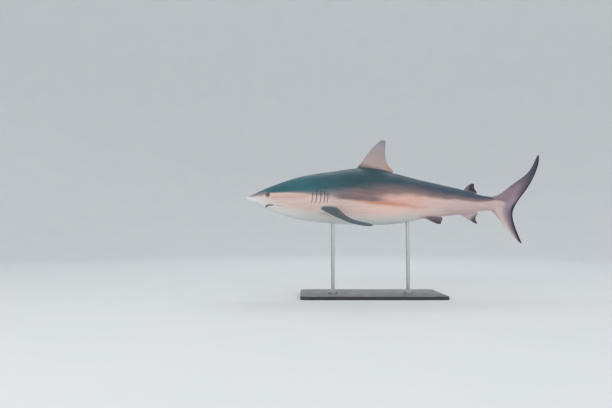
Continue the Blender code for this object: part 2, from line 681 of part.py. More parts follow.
def make_fish():
    """Parts the fish and gives every piece its name, by the point that lies nearest its middle."""
    cutters = all_cutters()
    bm, islands = parted(grow_fish(), cutters)
    middles = [np.mean([f.calc_center_median() for f in island], axis=0) for island in islands]
    if len(islands) != len(PIECES):
        print("islands:", [(len(i), np.round(m, 3).tolist()) for i, m in zip(islands, middles)])
        raise ValueError(f"the cuts left {len(islands)} pieces, not {len(PIECES)}")
    for name, (inside, finish_name) in PIECES.items():
        target = pose([inside])[0]
        nearest = min(range(len(middles)), key=lambda k: np.linalg.norm(middles[k] - target))
        island_object(name, islands[nearest], finish_name)
    bm.free()
    for cutter in cutters:
        bpy.data.objects.remove(cutter)
    for side_name, side in SIDES.items():
        ball(f"eye_{side_name}", eye_centre(side), EYE_RADIUS, "eye")


# ---------------------------------------------------------------- the stand
def round_edges(bm, edges, offset, steps):
    bmesh.ops.bevel(bm, geom=edges, offset=offset, segments=steps, profile=0.5, affect="EDGES")


def make_stand():
    """A bevelled plate, two collars and two rods that go a little way into the belly."""
    bm = bmesh.new()
    bmesh.ops.create_cube(bm, size=1.0)
    bm.transform(Matrix.Diagonal((BASE_LENGTH, BASE_WIDTH, BASE_THICKNESS, 1)))
    bm.transform(Matrix.Translation((0, 0, BASE_THICKNESS / 2)))
    corners = [e for e in bm.edges if abs(e.verts[0].co.z - e.verts[1].co.z) > BASE_THICKNESS / 2]
    round_edges(bm, corners, BASE_CORNER, BASE_CORNER_STEPS)
    top = [e for e in bm.edges if min(v.co.z for v in e.verts) > BASE_THICKNESS - 1e-5]
    round_edges(bm, top, EDGE_BEVEL, EDGE_BEVEL_STEPS)
    add_object("stand_base", bm, "base_plate")
    bottom = BASE_THICKNESS + GAP
    for name, (x, y, z) in rod_places().items():
        collar_ring(f"stand_collar_{name}", x, y, bottom, bottom + COLLAR_HEIGHT)
        upright(f"stand_rod_{name}", x, y, bottom, z + ROD_SUNK, ROD_RADIUS, "steel")


def collar_ring(name, x, y, bottom, top):
    """A turned ring round the foot of a rod, with a chamfered upper rim."""
    inner = ROD_RADIUS + GAP
    profile = (
        (inner, bottom),
        (COLLAR_RADIUS, bottom),
        (COLLAR_RADIUS, top - EDGE_BEVEL),
        (COLLAR_RADIUS - EDGE_BEVEL, top),
        (inner, top),
    )
    bm = bmesh.new()
    turns = [2 * pi * k / ROUND_SIDES for k in range(ROUND_SIDES)]
    rows = [[bm.verts.new((x + r * cos(a), y + r * sin(a), z)) for r, z in profile] for a in turns]
    for k, row in enumerate(rows):
        following = rows[(k + 1) % ROUND_SIDES]
        for m in range(len(profile)):
            n = (m + 1) % len(profile)
            bm.faces.new((row[m], following[m], following[n], row[n]))
    add_object(name, bm, "steel")


def clear_scene():
    for obj in list(bpy.data.objects):
        bpy.data.objects.remove(obj)


clear_scene()
make_fish()
make_stand()
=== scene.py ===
# %% [markdown]
# # A reef shark for a museum hall
#
# The solid model of a reef shark comes first: head, trunk, fins and tail in plain closed solids,
# held over a flat board by two rods. This lesson dresses it. One smooth skin takes the place of
# all the solids of flesh, so no seam shows; the gill slits, mouth, nostrils and eye rims are
# modelled into that skin, its markings are laid on by simple rules, and the eyes and the stand
# get finishes of their own.
#
# The solids are loaded first and never moved. Everything here is in metres, with the floor at
# height 0, the snout towards -X and the fish's left side towards -Y.

# %% Load the solid model
import json
from math import cos, hypot, pi, radians, sin

import bmesh
import bpy
import numpy as np
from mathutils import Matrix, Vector

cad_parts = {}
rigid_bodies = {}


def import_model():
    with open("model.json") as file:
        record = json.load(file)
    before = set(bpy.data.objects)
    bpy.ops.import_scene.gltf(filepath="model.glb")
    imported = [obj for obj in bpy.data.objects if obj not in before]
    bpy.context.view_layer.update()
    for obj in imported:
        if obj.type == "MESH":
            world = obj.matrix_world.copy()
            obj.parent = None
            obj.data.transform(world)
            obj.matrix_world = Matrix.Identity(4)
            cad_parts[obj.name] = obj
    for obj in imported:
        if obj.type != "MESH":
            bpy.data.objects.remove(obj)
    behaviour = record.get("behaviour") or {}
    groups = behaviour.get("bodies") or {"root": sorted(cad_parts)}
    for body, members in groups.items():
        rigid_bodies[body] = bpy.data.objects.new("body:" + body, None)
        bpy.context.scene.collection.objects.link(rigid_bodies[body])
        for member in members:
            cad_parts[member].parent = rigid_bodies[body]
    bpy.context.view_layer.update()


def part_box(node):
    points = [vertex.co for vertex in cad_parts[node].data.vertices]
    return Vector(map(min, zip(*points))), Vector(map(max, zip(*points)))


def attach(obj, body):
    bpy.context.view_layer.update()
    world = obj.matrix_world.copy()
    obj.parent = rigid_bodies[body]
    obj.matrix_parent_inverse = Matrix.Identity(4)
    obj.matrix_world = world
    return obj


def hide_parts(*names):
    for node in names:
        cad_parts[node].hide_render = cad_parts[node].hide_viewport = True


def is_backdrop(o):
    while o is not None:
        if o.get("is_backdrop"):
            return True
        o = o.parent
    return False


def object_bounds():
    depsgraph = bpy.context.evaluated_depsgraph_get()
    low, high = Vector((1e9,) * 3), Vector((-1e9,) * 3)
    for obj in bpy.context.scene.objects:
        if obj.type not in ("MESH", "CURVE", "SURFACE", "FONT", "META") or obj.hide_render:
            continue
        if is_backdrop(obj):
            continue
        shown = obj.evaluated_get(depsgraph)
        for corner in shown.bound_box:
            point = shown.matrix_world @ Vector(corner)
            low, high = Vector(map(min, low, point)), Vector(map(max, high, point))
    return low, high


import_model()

# %% [markdown]
# ## The camera
#
# The fish is seen from its left side by someone standing about three metres off and a little
# lower than the fish, so the camera is near the floor and tilts up slightly. A lens is set by its
# focal length: 31 mm on a 36 mm wide sensor takes in a view 60 degrees wide.

# %% Camera
def add_object(name, data):
    """An object that shows the data, put into the scene."""
    obj = bpy.data.objects.new(name, data)
    bpy.context.scene.collection.objects.link(obj)
    return obj


CAMERA_PLACE = (-0.368, -3.0475, 0.3293)
CAMERA_TILT = radians(3.67)
LENS_MM, SENSOR_MM = 31.18, 36.0

camera_data = bpy.data.cameras.new("camera")
camera_data.lens, camera_data.sensor_width = LENS_MM, SENSOR_MM
camera_data.clip_start, camera_data.clip_end = 0.05, 100.0
camera = add_object("camera", camera_data)
camera.location = CAMERA_PLACE
camera.rotation_euler = (pi / 2 + CAMERA_TILT, 0, 0)
bpy.context.scene.camera = camera
print("camera at", CAMERA_PLACE)

# %% [markdown]
# ## Small tools for meshes and materials
#
# Three helpers are used all through. `mesh_object` turns points and faces into an object.
# `tone` turns a colour as it is seen on a screen, 0 to 255, into the linear value that a shader
# needs. `Recipe` adds shader nodes in short lines, so that a finish reads like a list of steps.


# %% Helpers for meshes and colours
def shade_smooth(mesh):
    """Light runs smoothly over the faces instead of showing each one."""
    mesh.polygons.foreach_set("use_smooth", [True] * len(mesh.polygons))


def mesh_object(name, points, faces):
    """A smoothly shaded object made of points and faces."""
    mesh = bpy.data.meshes.new(name)
    mesh.from_pydata([tuple(p) for p in points], [], [tuple(f) for f in faces])
    shade_smooth(mesh)
    return add_object(name, mesh)


def tone(red, green, blue):
    """A screen colour, 0 to 255, as the linear colour with alpha that a shader takes."""
    shares = (c / 255 for c in (red, green, blue))
    return (*(s / 12.92 if s <= 0.04045 else ((s + 0.055) / 1.055) ** 2.4 for s in shares), 1.0)


print("a middle grey, as a shader takes it:", [round(v, 3) for v in tone(128, 128, 128)])


# %% Recipe for finishes
class Recipe:
    """A material that is put together step by step."""

    def __init__(self, name, roughness, specular=0.5, metallic=0.0):
        self.material = bpy.data.materials.new(name)
        self.material.use_nodes = True
        self.tree = self.material.node_tree
        self.shader = self.tree.nodes["Principled BSDF"]
        self.set(Roughness=roughness, Metallic=metallic)
        self.shader.inputs["Specular IOR Level"].default_value = specular

    def set(self, **values):
        """Plain values on the shader's own sockets."""
        for name, value in values.items():
            self.shader.inputs[name].default_value = value

    def plug(self, value, socket):
        """A number or a colour is written into the socket, an output is linked to it."""
        if isinstance(value, bpy.types.NodeSocket):
            self.tree.links.new(value, socket)
        else:
            socket.default_value = value

    def paint(self, colour, roughness=None, normal=None):
        """What varies over the surface is linked to the shader."""
        sockets = ("Base Color", "Roughness", "Normal")
        for socket, output in zip(sockets, (colour, roughness, normal)):
            if output is not None:
                self.plug(output, self.shader.inputs[socket])

    def mask(self, name):
        """The painted layer of that name, as a number from 0 to 1."""
        node = self.tree.nodes.new("ShaderNodeAttribute")
        node.attribute_name = name
        return node.outputs["Fac"]

    def rest_place(self):
        """The places that are stored on the piece, so that a pattern keeps to its surface."""
        node = self.tree.nodes.new("ShaderNodeAttribute")
        node.attribute_name = "rest"
        return node.outputs["Vector"]

    def own_place(self):
        """Where on the piece itself a point is, as a vector."""
        return self.tree.nodes.new("ShaderNodeTexCoord").outputs["Object"]

    def axis(self, vector, which):
        """One coordinate of a vector: X, Y or Z."""
        node = self.tree.nodes.new("ShaderNodeSeparateXYZ")
        self.plug(vector, node.inputs[0])
        return node.outputs[which]

    def noise(self, vector, scale, detail=3.0, stretch=(1, 1, 1)):
        """Soft random noise, finer as scale goes up; stretch draws it out along the axes."""
        mapping = self.tree.nodes.new("ShaderNodeMapping")
        self.plug(vector, mapping.inputs["Vector"])
        mapping.inputs["Scale"].default_value = stretch
        node = self.tree.nodes.new("ShaderNodeTexNoise")
        self.plug(mapping.outputs[0], node.inputs["Vector"])
        node.inputs["Scale"].default_value = scale
        node.inputs["Detail"].default_value = detail
        return node.outputs["Fac"]

    def cells(self, vector, scale):
        """A pattern of small cells, such as grains or scales."""
        node = self.tree.nodes.new("ShaderNodeTexVoronoi")
        self.plug(vector, node.inputs["Vector"])
        node.inputs["Scale"].default_value = scale
        return node.outputs["Distance"]

    def ramp(self, value, low, high, to_low=0.0, to_high=1.0):
        """value from low to high is stretched softly to the new range, and held outside it."""
        node = self.tree.nodes.new("ShaderNodeMapRange")
        node.interpolation_type = "SMOOTHSTEP"
        for socket, number in zip(node.inputs, (value, low, high, to_low, to_high)):
            self.plug(number, socket)
        return node.outputs[0]

    def reckon(self, how, a, b=0.0):
        """Arithmetic on two numbers: ADD, SUBTRACT, SINE and so on."""
        node = self.tree.nodes.new("ShaderNodeMath")
        node.operation = how
        self.plug(a, node.inputs[0])
        self.plug(b, node.inputs[1])
        return node.outputs[0]

    def times(self, a, b):
        """Two numbers multiplied."""
        return self.reckon("MULTIPLY", a, b)

    def mix(self, share, below, above, how="MIX"):
        """Paints the colour above over the colour below, by share."""
        node = self.tree.nodes.new("ShaderNodeMix")
        node.data_type, node.blend_type = "RGBA", how
        self.plug(share, node.inputs["Factor"])
        colours = [s for s in node.inputs if s.type == "RGBA"]
        self.plug(below, colours[0])
        self.plug(above, colours[1])
        return next(s for s in node.outputs if s.type == "RGBA")

    def cover(self, below, name, above, strength=1.0):
        """Paints the colour above over the colour below where the painted layer says so."""
        share = self.mask(name)
        return self.mix(share if strength == 1.0 else self.times(share, strength), below, above)

    def bump(self, height, depth, strength=1.0, before=None):
        """Small relief: height 0 to 1 stands for depth metres."""
        node = self.tree.nodes.new("ShaderNodeBump")
        node.inputs["Distance"].default_value = depth
        node.inputs["Strength"].default_value = strength
        self.plug(height, node.inputs["Height"])
        if before:
            self.plug(before, node.inputs["Normal"])
        return node.outputs[0]


print("steps that a finish can use:", len([step for step in vars(Recipe) if step[0] != "_"]))

# %% [markdown]
# ## Floor and light
#
# A museum photographs such a cast on a plain pale sweep: a floor that curves up into a wall, with
# no corner to see. Here the sweep is a wide shallow bowl, so that it looks the same from every
# side. The light is soft: the pale room gives most of it, a large panel on the camera's left
# gives it a direction, a weaker one stands on the right, and one behind serves the far side.

# %% Sweep
SWEEP_FLAT, SWEEP_RISE, SWEEP_TOP = 6.5, 4.5, 9.0
SWEEP_RINGS, SWEEP_STEPS, SWEEP_SIDES = 4, 16, 96


def sweep_rows():
    """Radius and height along the sweep, from its middle outwards."""
    rows = [(SWEEP_FLAT * k / SWEEP_RINGS, 0.0) for k in range(1, SWEEP_RINGS + 1)]
    for k in range(1, SWEEP_STEPS + 1):
        angle = pi / 2 * k / SWEEP_STEPS
        rows.append((SWEEP_FLAT + SWEEP_RISE * sin(angle), SWEEP_RISE * (1 - cos(angle))))
    return rows + [(SWEEP_FLAT + SWEEP_RISE, SWEEP_TOP)]


def ring_faces(rows, sides):
    """Quads between neighbouring rings of the same number of sides."""
    faces = []
    for i in range(rows - 1):
        for j in range(sides):
            k = (j + 1) % sides
            faces.append((i * sides + j, (i + 1) * sides + j, (i + 1) * sides + k, i * sides + k))
    return faces


rows = sweep_rows()
turns = [2 * pi * j / SWEEP_SIDES for j in range(SWEEP_SIDES)]
points = [(r * cos(a), r * sin(a), h) for r, h in rows for a in turns]
faces = ring_faces(len(rows), SWEEP_SIDES) + [tuple(range(SWEEP_SIDES))]
sweep = mesh_object("sweep", points, faces)
paper = Recipe("pale_paper", roughness=1.0, specular=0.0)
grain = paper.noise(paper.tree.nodes.new("ShaderNodeNewGeometry").outputs["Position"], 3.0)
paper.paint(paper.mix(grain, tone(226, 228, 229), tone(232, 233, 233)))
sweep.data.materials.append(paper.material)
sweep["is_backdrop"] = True
print("sweep", len(faces), "faces")

# %% Lights
LIGHTS = {  # place, point that it faces, width in metres, power in watts, colour
    "main_panel": ((-2.8, -5.2, 2.6), (0.0, 0.0, 0.55), 2.6, 112, (1.0, 0.985, 0.965)),
    "side_panel": ((3.6, -4.6, 1.6), (0.3, 0.0, 0.55), 2.6, 52, (0.96, 0.98, 1.0)),
    "back_panel": ((0.6, 4.6, 6.2), (0.0, 0.0, 0.55), 3.0, 80, (0.96, 0.98, 1.0)),
}
for name, (place, target, width, power, colour) in LIGHTS.items():
    lamp = bpy.data.lights.new(name, "AREA")
    lamp.size, lamp.energy, lamp.color = width, power, colour
    panel = add_object(name, lamp)
    panel.location = place
    panel.rotation_euler = (Vector(target) - Vector(place)).to_track_quat("-Z", "Y").to_euler()
world = bpy.data.worlds.new("room")
world.use_nodes = True
world.node_tree.nodes["Background"].inputs["Color"].default_value = (0.92, 0.96, 1.0, 1)
world.node_tree.nodes["Background"].inputs["Strength"].default_value = 0.76
bpy.context.scene.world = world
bpy.context.scene.view_settings.view_transform = "Standard"
print("light panels:", len(LIGHTS))

# %% [markdown]
# ## The swimming curve
#
# A fish is far easier to shape straight than bent. So the whole animal is made in its own
# straight measure, where x runs back from the snout, y to its right and z up, and is laid along
# its swimming curve only at the end. The curve is the one that the solids follow: the head turned
# a little to the left, the tail swung to the right and rolled over slightly.

# %% Curves
HEAD_TURN, HEAD_TURN_END = radians(-3.0), 0.55
TAIL_TURN, TAIL_TURN_START, TAIL_TURN_END = radians(24.0), 0.75, 1.70
TAIL_LEAN, TAIL_LEAN_START, TAIL_LEAN_END = radians(22.0), 1.15, 1.65


def through(at, knots):
    """The smooth curve through knots, each (x, value, ...), at one x or at an array of them."""
    knots = np.asarray(knots, float)
    x, y = knots[:, 0], knots[:, 1:]
    at = np.clip(np.asarray(at, float), x[0], x[-1])
    step = np.diff(x)
    slope = np.diff(y, axis=0) / step[:, None]
    before, after = slope[:-1], slope[1:]
    bends_on = before * after > 0
    total = np.where(bends_on, before + after, 1.0)
    tangent = np.vstack([slope[:1], np.where(bends_on, 2 * before * after / total, 0), slope[-1:]])
    i = np.clip(np.searchsorted(x, at, side="right") - 1, 0, len(x) - 2)
    h = step[i]
    t = ((at - x[i]) / h)[..., None]
    h = np.asarray(h)[..., None]
    rise = (2 * t**3 - 3 * t**2 + 1) * y[i] + (3 * t**2 - 2 * t**3) * y[i + 1]
    return rise + h * ((t**3 - 2 * t**2 + t) * tangent[i] + (t**3 - t**2) * tangent[i + 1])


def ease(t):
    """0 to 1 with a soft start and a soft end."""
    t = np.clip(t, 0.0, 1.0)
    return t * t * (3.0 - 2.0 * t)


def rising(value, start, length):
    """0 up to the start, then softly up to 1 over the length."""
    return ease((value - start) / length)


def falling(value, end, length):
    """1 until a length short of the end, then softly down to 0 at the end."""
    return ease((end - value) / length)


def heading(x):
    """How far the body is turned to the right at distance x, in radians."""
    head = HEAD_TURN * falling(x, HEAD_TURN_END, HEAD_TURN_END)
    return head + TAIL_TURN * rising(x, TAIL_TURN_START, TAIL_TURN_END - TAIL_TURN_START)


def lean(x):
    """How far the body is rolled over at distance x, in radians."""
    return TAIL_LEAN * rising(x, TAIL_LEAN_START, TAIL_LEAN_END - TAIL_LEAN_START)


bends = [round(float(np.degrees(heading(x)))) for x in (0.0, 0.6, 1.7)]
print("turned to the right at snout, middle and tail:", bends, "degrees")

# %% Pose
SNOUT_HEIGHT, STAND_CENTRE = 0.56, 0.715
STEP = 0.001
ALONG = np.arange(-0.1, 2.3, STEP)
LINE = np.cumsum(np.stack([np.cos(heading(ALONG)), np.sin(heading(ALONG))], 1) * STEP, axis=0)
LINE -= [np.interp(STAND_CENTRE, ALONG, LINE[:, 0]), np.interp(STAND_CENTRE, ALONG, LINE[:, 1])]


def axes_at(x):
    """The posed fish's own axes at distance x: back along the body, to its right, and up."""
    turn, roll = heading(x), lean(x)
    zero = np.zeros_like(turn)
    back = np.stack([np.cos(turn), np.sin(turn), zero], -1)
    flat_right = np.stack([-np.sin(turn), np.cos(turn), zero], -1)
    up = np.array([0.0, 0.0, 1.0])
    c, s = np.cos(roll)[..., None], np.sin(roll)[..., None]
    return back, c * flat_right - s * up, c * up + s * flat_right


def pose(points):
    """Points of the straight fish moved onto the swimming curve."""
    points = np.asarray(points, float).reshape(-1, 3)
    x = points[:, 0]
    _, right, up = axes_at(x)
    line = [np.interp(x, ALONG, LINE[:, 0]), np.interp(x, ALONG, LINE[:, 1])]
    centre = [*line, 0 * x + SNOUT_HEIGHT]
    return np.stack(centre, 1) + points[:, 1:2] * right + points[:, 2:3] * up


print("snout tip:", pose([(0, 0, 0)])[0].round(3), "tail root:", pose([(1.459, 0, 0)])[0].round(3))

# %% [markdown]
# ## The body's form
#
# A shark's trunk is a spindle. At each station along it, four numbers give the section: the top,
# the underside, the half width and the height of the widest line; a fifth says how full the curve
# between them is. A control cage of rings is laid on that form. Smoothing a cage draws it in, so
# `swollen` pushes the cage out first by just what will be lost.

# %% Body form
STATIONS = (  # distance, top, underside, half width and height of the widest line
    (0.000, 0.000, 0.000, 0.000, 0.000),  # tip of the snout
    (0.020, 0.012, -0.022, 0.037, -0.004),  # rounded front of the snout
    (0.070, 0.033, -0.042, 0.067, -0.007),  # nostrils
    (0.133, 0.061, -0.069, 0.087, -0.010),  # eyes
    (0.215, 0.091, -0.102, 0.104, -0.012),  # corners of the mouth
    (0.310, 0.120, -0.1245, 0.116, -0.009),  # nape
    (0.400, 0.1375, -0.1375, 0.124, -0.005),  # gills
    (0.490, 0.150, -0.1475, 0.130, 0.000),  # pectoral fins
    (0.645, 0.1690, -0.154, 0.137, 0.003),  # front of the first dorsal fin
    (0.730, 0.1670, -0.156, 0.138, 0.002),  # deepest part of the belly
    (0.825, 0.1465, -0.153, 0.132, 0.000),  # end of the first dorsal fin
    (0.930, 0.1215, -0.141, 0.119, -0.004),  # loins
    (1.030, 0.0965, -0.1185, 0.099, -0.008),  # pelvic fins
    (1.157, 0.0700, -0.104, 0.076, -0.014),  # between pelvic and anal fins
    (1.244, 0.0555, -0.094, 0.062, -0.018),  # front of the anal fin
    (1.335, 0.0315, -0.081, 0.048, -0.023),  # end of the anal and second dorsal fins
    (1.390, 0.0190, -0.0725, 0.039, -0.026),  # narrowest part of the tail stalk
    (1.459, 0.0145, -0.0665, 0.031, -0.026),  # root of the tail fin
)
FULLNESS = (  # distance, and how full the section is above and below its widest line
    (0.000, 2.0, 2.2),
    (0.133, 2.1, 2.6),
    (0.310, 2.0, 2.4),
    (0.645, 1.86, 2.15),
    (1.244, 1.86, 2.0),
    (1.459, 2.0, 2.0),
)
RINGS = (
    0.008, 0.032, 0.070, 0.112, 0.155, 0.200, 0.250, 0.310, 0.372, 0.424, 0.451, 0.478, 0.506,
    0.574, 0.645, 0.704, 0.762, 0.820, 0.900, 0.985, 1.032, 1.080, 1.160, 1.244, 1.277, 1.306,
    1.335, 1.395, 1.459,
)  # fmt: skip
COLUMNS = (0, 10, 26, 44, 63, 84, 103, 115, 128, 146, 163, 180)  # degrees from the back's middle
ROUND = 2 * (len(COLUMNS) - 1)  # corners of the cage in each ring
TAIL_ROOT = STATIONS[-1][0]
print("widest:", round(2000 * max(s[3] for s in STATIONS)), "mm")


# %% Body surface
def section(x):
    """Top, underside, half width and height of the widest line at distance x."""
    knots = [(station[0] ** 0.5, *station[1:]) for station in STATIONS]
    return through(np.maximum(x, 0.0) ** 0.5, knots)


def surface(x, degrees):
    """The point of the body at distance x, so many degrees round from the middle of the back."""
    top, underside, half_width, widest = section(x)
    above, below = through(x, FULLNESS)
    angle = radians(degrees)
    rise, power = (top - widest, above) if cos(angle) >= 0 else (widest - underside, below)
    sideways = abs(sin(angle)) ** (2.0 / power)
    upwards = abs(cos(angle)) ** (2.0 / power)
    y = np.sign(sin(angle)) * half_width * sideways
    return np.array([x, y, widest + np.sign(cos(angle)) * rise * upwards])


def side_skin(x, z):
    """Half the body's width at distance x and height z."""
    top, underside, half_width, widest = section(x)
    above, below = through(x, FULLNESS)
    rise, power = (top - widest, above) if z >= widest else (widest - underside, below)
    return half_width * (1 - (abs(z - widest) / rise) ** power) ** (1 / power)


def swollen(grid):
    """The cage pushed out by what smoothing takes in, so that the skin has the true size."""
    across = (np.roll(grid, 1, 1) + 4 * grid + np.roll(grid, -1, 1)) / 6
    smooth = across.copy()
    smooth[1:-1] = (across[:-2] + 4 * across[1:-1] + across[2:]) / 6
    out = grid + (grid - smooth)
    out[:, :, 0] = grid[:, :, 0]
    return out


print("middle of the back at the nape:", surface(0.310, 0).round(3))

# %% [markdown]
# ## The fins' forms
#
# A fin is drawn as two edges, front and rear, from root to tip. Its thickness is that of a wing:
# blunt in front, fine behind, thinner towards the tip. "aim" is the way it points out of the
# body, in degrees round from straight up. The fins are grown out of the cage's own faces, so the
# skin runs from body to fin without a joint.

# %% Fins of the midline
UPRIGHT = {"droop": 0.0, "twist": 0.0, "curl": 0.0}
LARGE_LEVELS = (0.05, 0.16, 0.34, 0.55, 0.76, 0.92, 1.0)  # rows of the cage, from root to tip
SMALL_LEVELS = (0.10, 0.38, 0.74, 1.0)
FIRST_DORSAL = {
    "name": "first_dorsal", "rings": (0.645, 0.820), "column": 0, "aim": 0, "thickness": 0.034,
    "levels": LARGE_LEVELS, **UPRIGHT,
    "leading": ((0, 0.628, 0), (0.07, 0.645, 0.011), (0.3, 0.678, 0.055), (0.6, 0.713, 0.103),
                (0.85, 0.747, 0.141), (0.95, 0.769, 0.159), (1, 0.788, 0.169)),
    "trailing": ((0, 0.820, 0), (0.05, 0.868, 0.003), (0.16, 0.833, 0.019), (0.34, 0.810, 0.045),
                 (0.73, 0.806, 0.120), (0.92, 0.810, 0.150), (1, 0.806, 0.167)),
}  # fmt: skip
SECOND_DORSAL = {
    "name": "second_dorsal", "rings": (1.277, 1.335), "column": 0, "aim": 0, "thickness": 0.013,
    "levels": SMALL_LEVELS, **UPRIGHT,
    "leading": ((0, 1.272, 0), (0.45, 1.290, 0.029), (0.8, 1.316, 0.046), (1, 1.334, 0.053)),
    "trailing": ((0, 1.335, 0), (0.1, 1.380, 0.004), (0.35, 1.354, 0.014), (0.7, 1.350, 0.034),
                 (1, 1.354, 0.052)),
}  # fmt: skip
ANAL = {
    "name": "anal", "rings": (1.244, 1.335), "column": 11, "aim": 180, "thickness": 0.014,
    "levels": SMALL_LEVELS, **UPRIGHT,
    "leading": ((0, 1.244, 0), (0.5, 1.288, 0.030), (0.85, 1.322, 0.053), (1, 1.338, 0.061)),
    "trailing": ((0, 1.335, 0), (0.1, 1.370, 0.005), (0.35, 1.342, 0.015), (0.7, 1.337, 0.036),
                 (1, 1.350, 0.061)),
}  # fmt: skip
MIDLINE_FINS = (FIRST_DORSAL, SECOND_DORSAL, ANAL)
print("fins of the midline:", [fin["name"] for fin in MIDLINE_FINS])

# %% Paired fins
PECTORAL = {
    "name": "pectoral", "rings": (0.424, 0.506), "column": 7, "aim": {"left": 111, "right": 100},
    "thickness": 0.029, "levels": LARGE_LEVELS, "droop": 0.27, "twist": 1.9, "curl": 0.054,
    "leading": ((0, 0.424, 0), (0.25, 0.478, 0.072), (0.5, 0.535, 0.146), (0.75, 0.580, 0.218),
                (0.93, 0.636, 0.272), (1, 0.670, 0.290)),
    "trailing": ((0, 0.510, 0), (0.06, 0.546, 0.020), (0.15, 0.570, 0.048), (0.35, 0.587, 0.112),
                 (0.60, 0.626, 0.185), (0.85, 0.673, 0.258), (1, 0.686, 0.288)),
}  # fmt: skip
PELVIC = {
    "name": "pelvic", "rings": (0.985, 1.080), "column": 9, "aim": {"left": 137, "right": 100},
    "thickness": 0.016, "levels": SMALL_LEVELS, "droop": 0.30, "twist": 1.0, "curl": 0.0,
    "leading": ((0, 0.994, 0), (0.4, 1.016, 0.031), (0.8, 1.046, 0.060), (1, 1.070, 0.073)),
    "trailing": ((0, 1.080, 0), (0.1, 1.127, 0.005), (0.25, 1.135, 0.014), (0.45, 1.103, 0.032),
                 (1, 1.088, 0.073)),
}  # fmt: skip
SIDES = {"left": -1, "right": 1}
PAIRED_FINS = (PECTORAL, PELVIC)
GROWN = [(fin, "right") for fin in MIDLINE_FINS] + [(fin, s) for fin in PAIRED_FINS for s in SIDES]
print("fins grown from the cage:", len(GROWN))

# %% Fin surface
FIN_EDGE = 0.0022  # thickness of every fin at its edge


def blade(share):
    """Thickness of a fin across its chord, as a share of the greatest: blunt front, fine rear."""
    return 2.6 * share**0.5 * (1.0 - share)


def fin_point(fin, side, level, share, face):
    """A point of a right-hand fin: level runs root to tip, share front to rear; face is 1, -1
    or, for its edge, 0."""
    front, rear = through(level, fin["leading"]), through(level, fin["trailing"])
    x, out = front + (rear - front) * share
    degrees, middle = COLUMNS[fin["column"]], sum(fin["rings"]) / 2
    straight = min(1.0, 3.0 * level)
    base = (1 - straight) * surface(x, degrees) + straight * surface(middle, degrees)
    aim = radians(fin["aim"][side] if isinstance(fin["aim"], dict) else fin["aim"])
    half = FIN_EDGE / 2 + fin["thickness"] / 2 * (1 - level) ** 0.8 * blade(share)
    tilt = fin["droop"] * min(1.0, 6.0 * level) * (1.0 - fin["twist"] * level)
    lift = face * half - tilt * (x - front[0]) - fin["curl"] * level * (1.0 - level)
    y = base[1] + sin(aim) * out - cos(aim) * lift
    return x, y, base[2] + cos(aim) * out + sin(aim) * lift


tip = fin_point(FIRST_DORSAL, "right", 1.0, 0.5, 0)
print("height of the first dorsal fin's tip:", round(1000 * float(tip[2])), "mm above the axis")

# %% [markdown]
# ## The tail fin's form
#
# The tail fin is one curved sheet with two lobes, so it isn't grown from a patch: the last ring of
# the body is drawn out and flattened into it. Four lines bound it, its root, its upper and lower
# edges and its rear edge, and every point inside is blended from those four.

# %% Tail fin
TAIL_UPPER_EDGE = (
    (0, 1.459, 0.0145), (0.10, 1.508, 0.026), (0.38, 1.654, 0.115), (0.55, 1.744, 0.166),
    (0.72, 1.838, 0.214), (0.88, 1.940, 0.300), (1, 2.034, 0.436),
)  # fmt: skip
TAIL_LOWER_EDGE = (
    (0, 1.459, -0.0665), (0.30, 1.490, -0.128), (0.58, 1.520, -0.190), (0.85, 1.562, -0.268),
    (1, 1.598, -0.325),
)  # fmt: skip
TAIL_REAR_EDGE = (
    (0, 2.037, 0.436), (0.08, 1.999, 0.316), (0.14, 1.961, 0.264), (0.26, 1.885, 0.176),
    (0.40, 1.773, 0.076), (0.52, 1.664, -0.012), (0.62, 1.597, -0.074), (0.74, 1.584, -0.150),
    (0.88, 1.591, -0.238), (1, 1.603, -0.325),
)  # fmt: skip
TAIL_ROWS = (0.10, 0.24, 0.42, 0.62, 0.82, 1.0)
TAIL_ROOT_HALF, TAIL_MIDDLE_HALF = 0.030, 0.006


def tail_point(row, share):
    """Half of the tail fin: row runs from its root to its rear edge, share from top to bottom."""
    upper, lower = through(row, TAIL_UPPER_EDGE), through(row, TAIL_LOWER_EDGE)
    start, end = np.array(TAIL_UPPER_EDGE[0][1:]), np.array(TAIL_LOWER_EDGE[0][1:])
    top_tip, low_tip = np.array(TAIL_REAR_EDGE[0][1:]), np.array(TAIL_REAR_EDGE[-1][1:])
    root, rear = start + (end - start) * share, through(share, TAIL_REAR_EDGE)
    corners = (1 - row) * ((1 - share) * start + share * end)
    corners = corners + row * ((1 - share) * top_tip + share * low_tip)
    x, z = (1 - share) * upper + share * lower + (1 - row) * root + row * rear - corners
    half = TAIL_ROOT_HALF * (1 - row) ** 2.5 + TAIL_MIDDLE_HALF * (1 - row)
    return x, half * sin(pi * share) ** 0.6 + FIN_EDGE / 2, z


span = TAIL_REAR_EDGE[0][2] - TAIL_REAR_EDGE[-1][2]
print("tail fin from tip to tip:", round(1000 * span), "mm")

# %% [markdown]
# ## Building the cage
#
# The cage is built with bmesh, which lets a script add corners and faces one by one. First come
# the body's rings, with openings left where fins grow; then each fin is drawn out of its opening
# as a tube of short rings and closed with a strip; the tail fin takes the last ring.
#
# Every corner also carries a note of where it is: on which fin, how far out, how far back, and on
# which face. Smoothing spreads these notes, and the markings read them later. The cage gets its
# unwrap here too, where it is easy: the body is one long strip and each fin a patch.

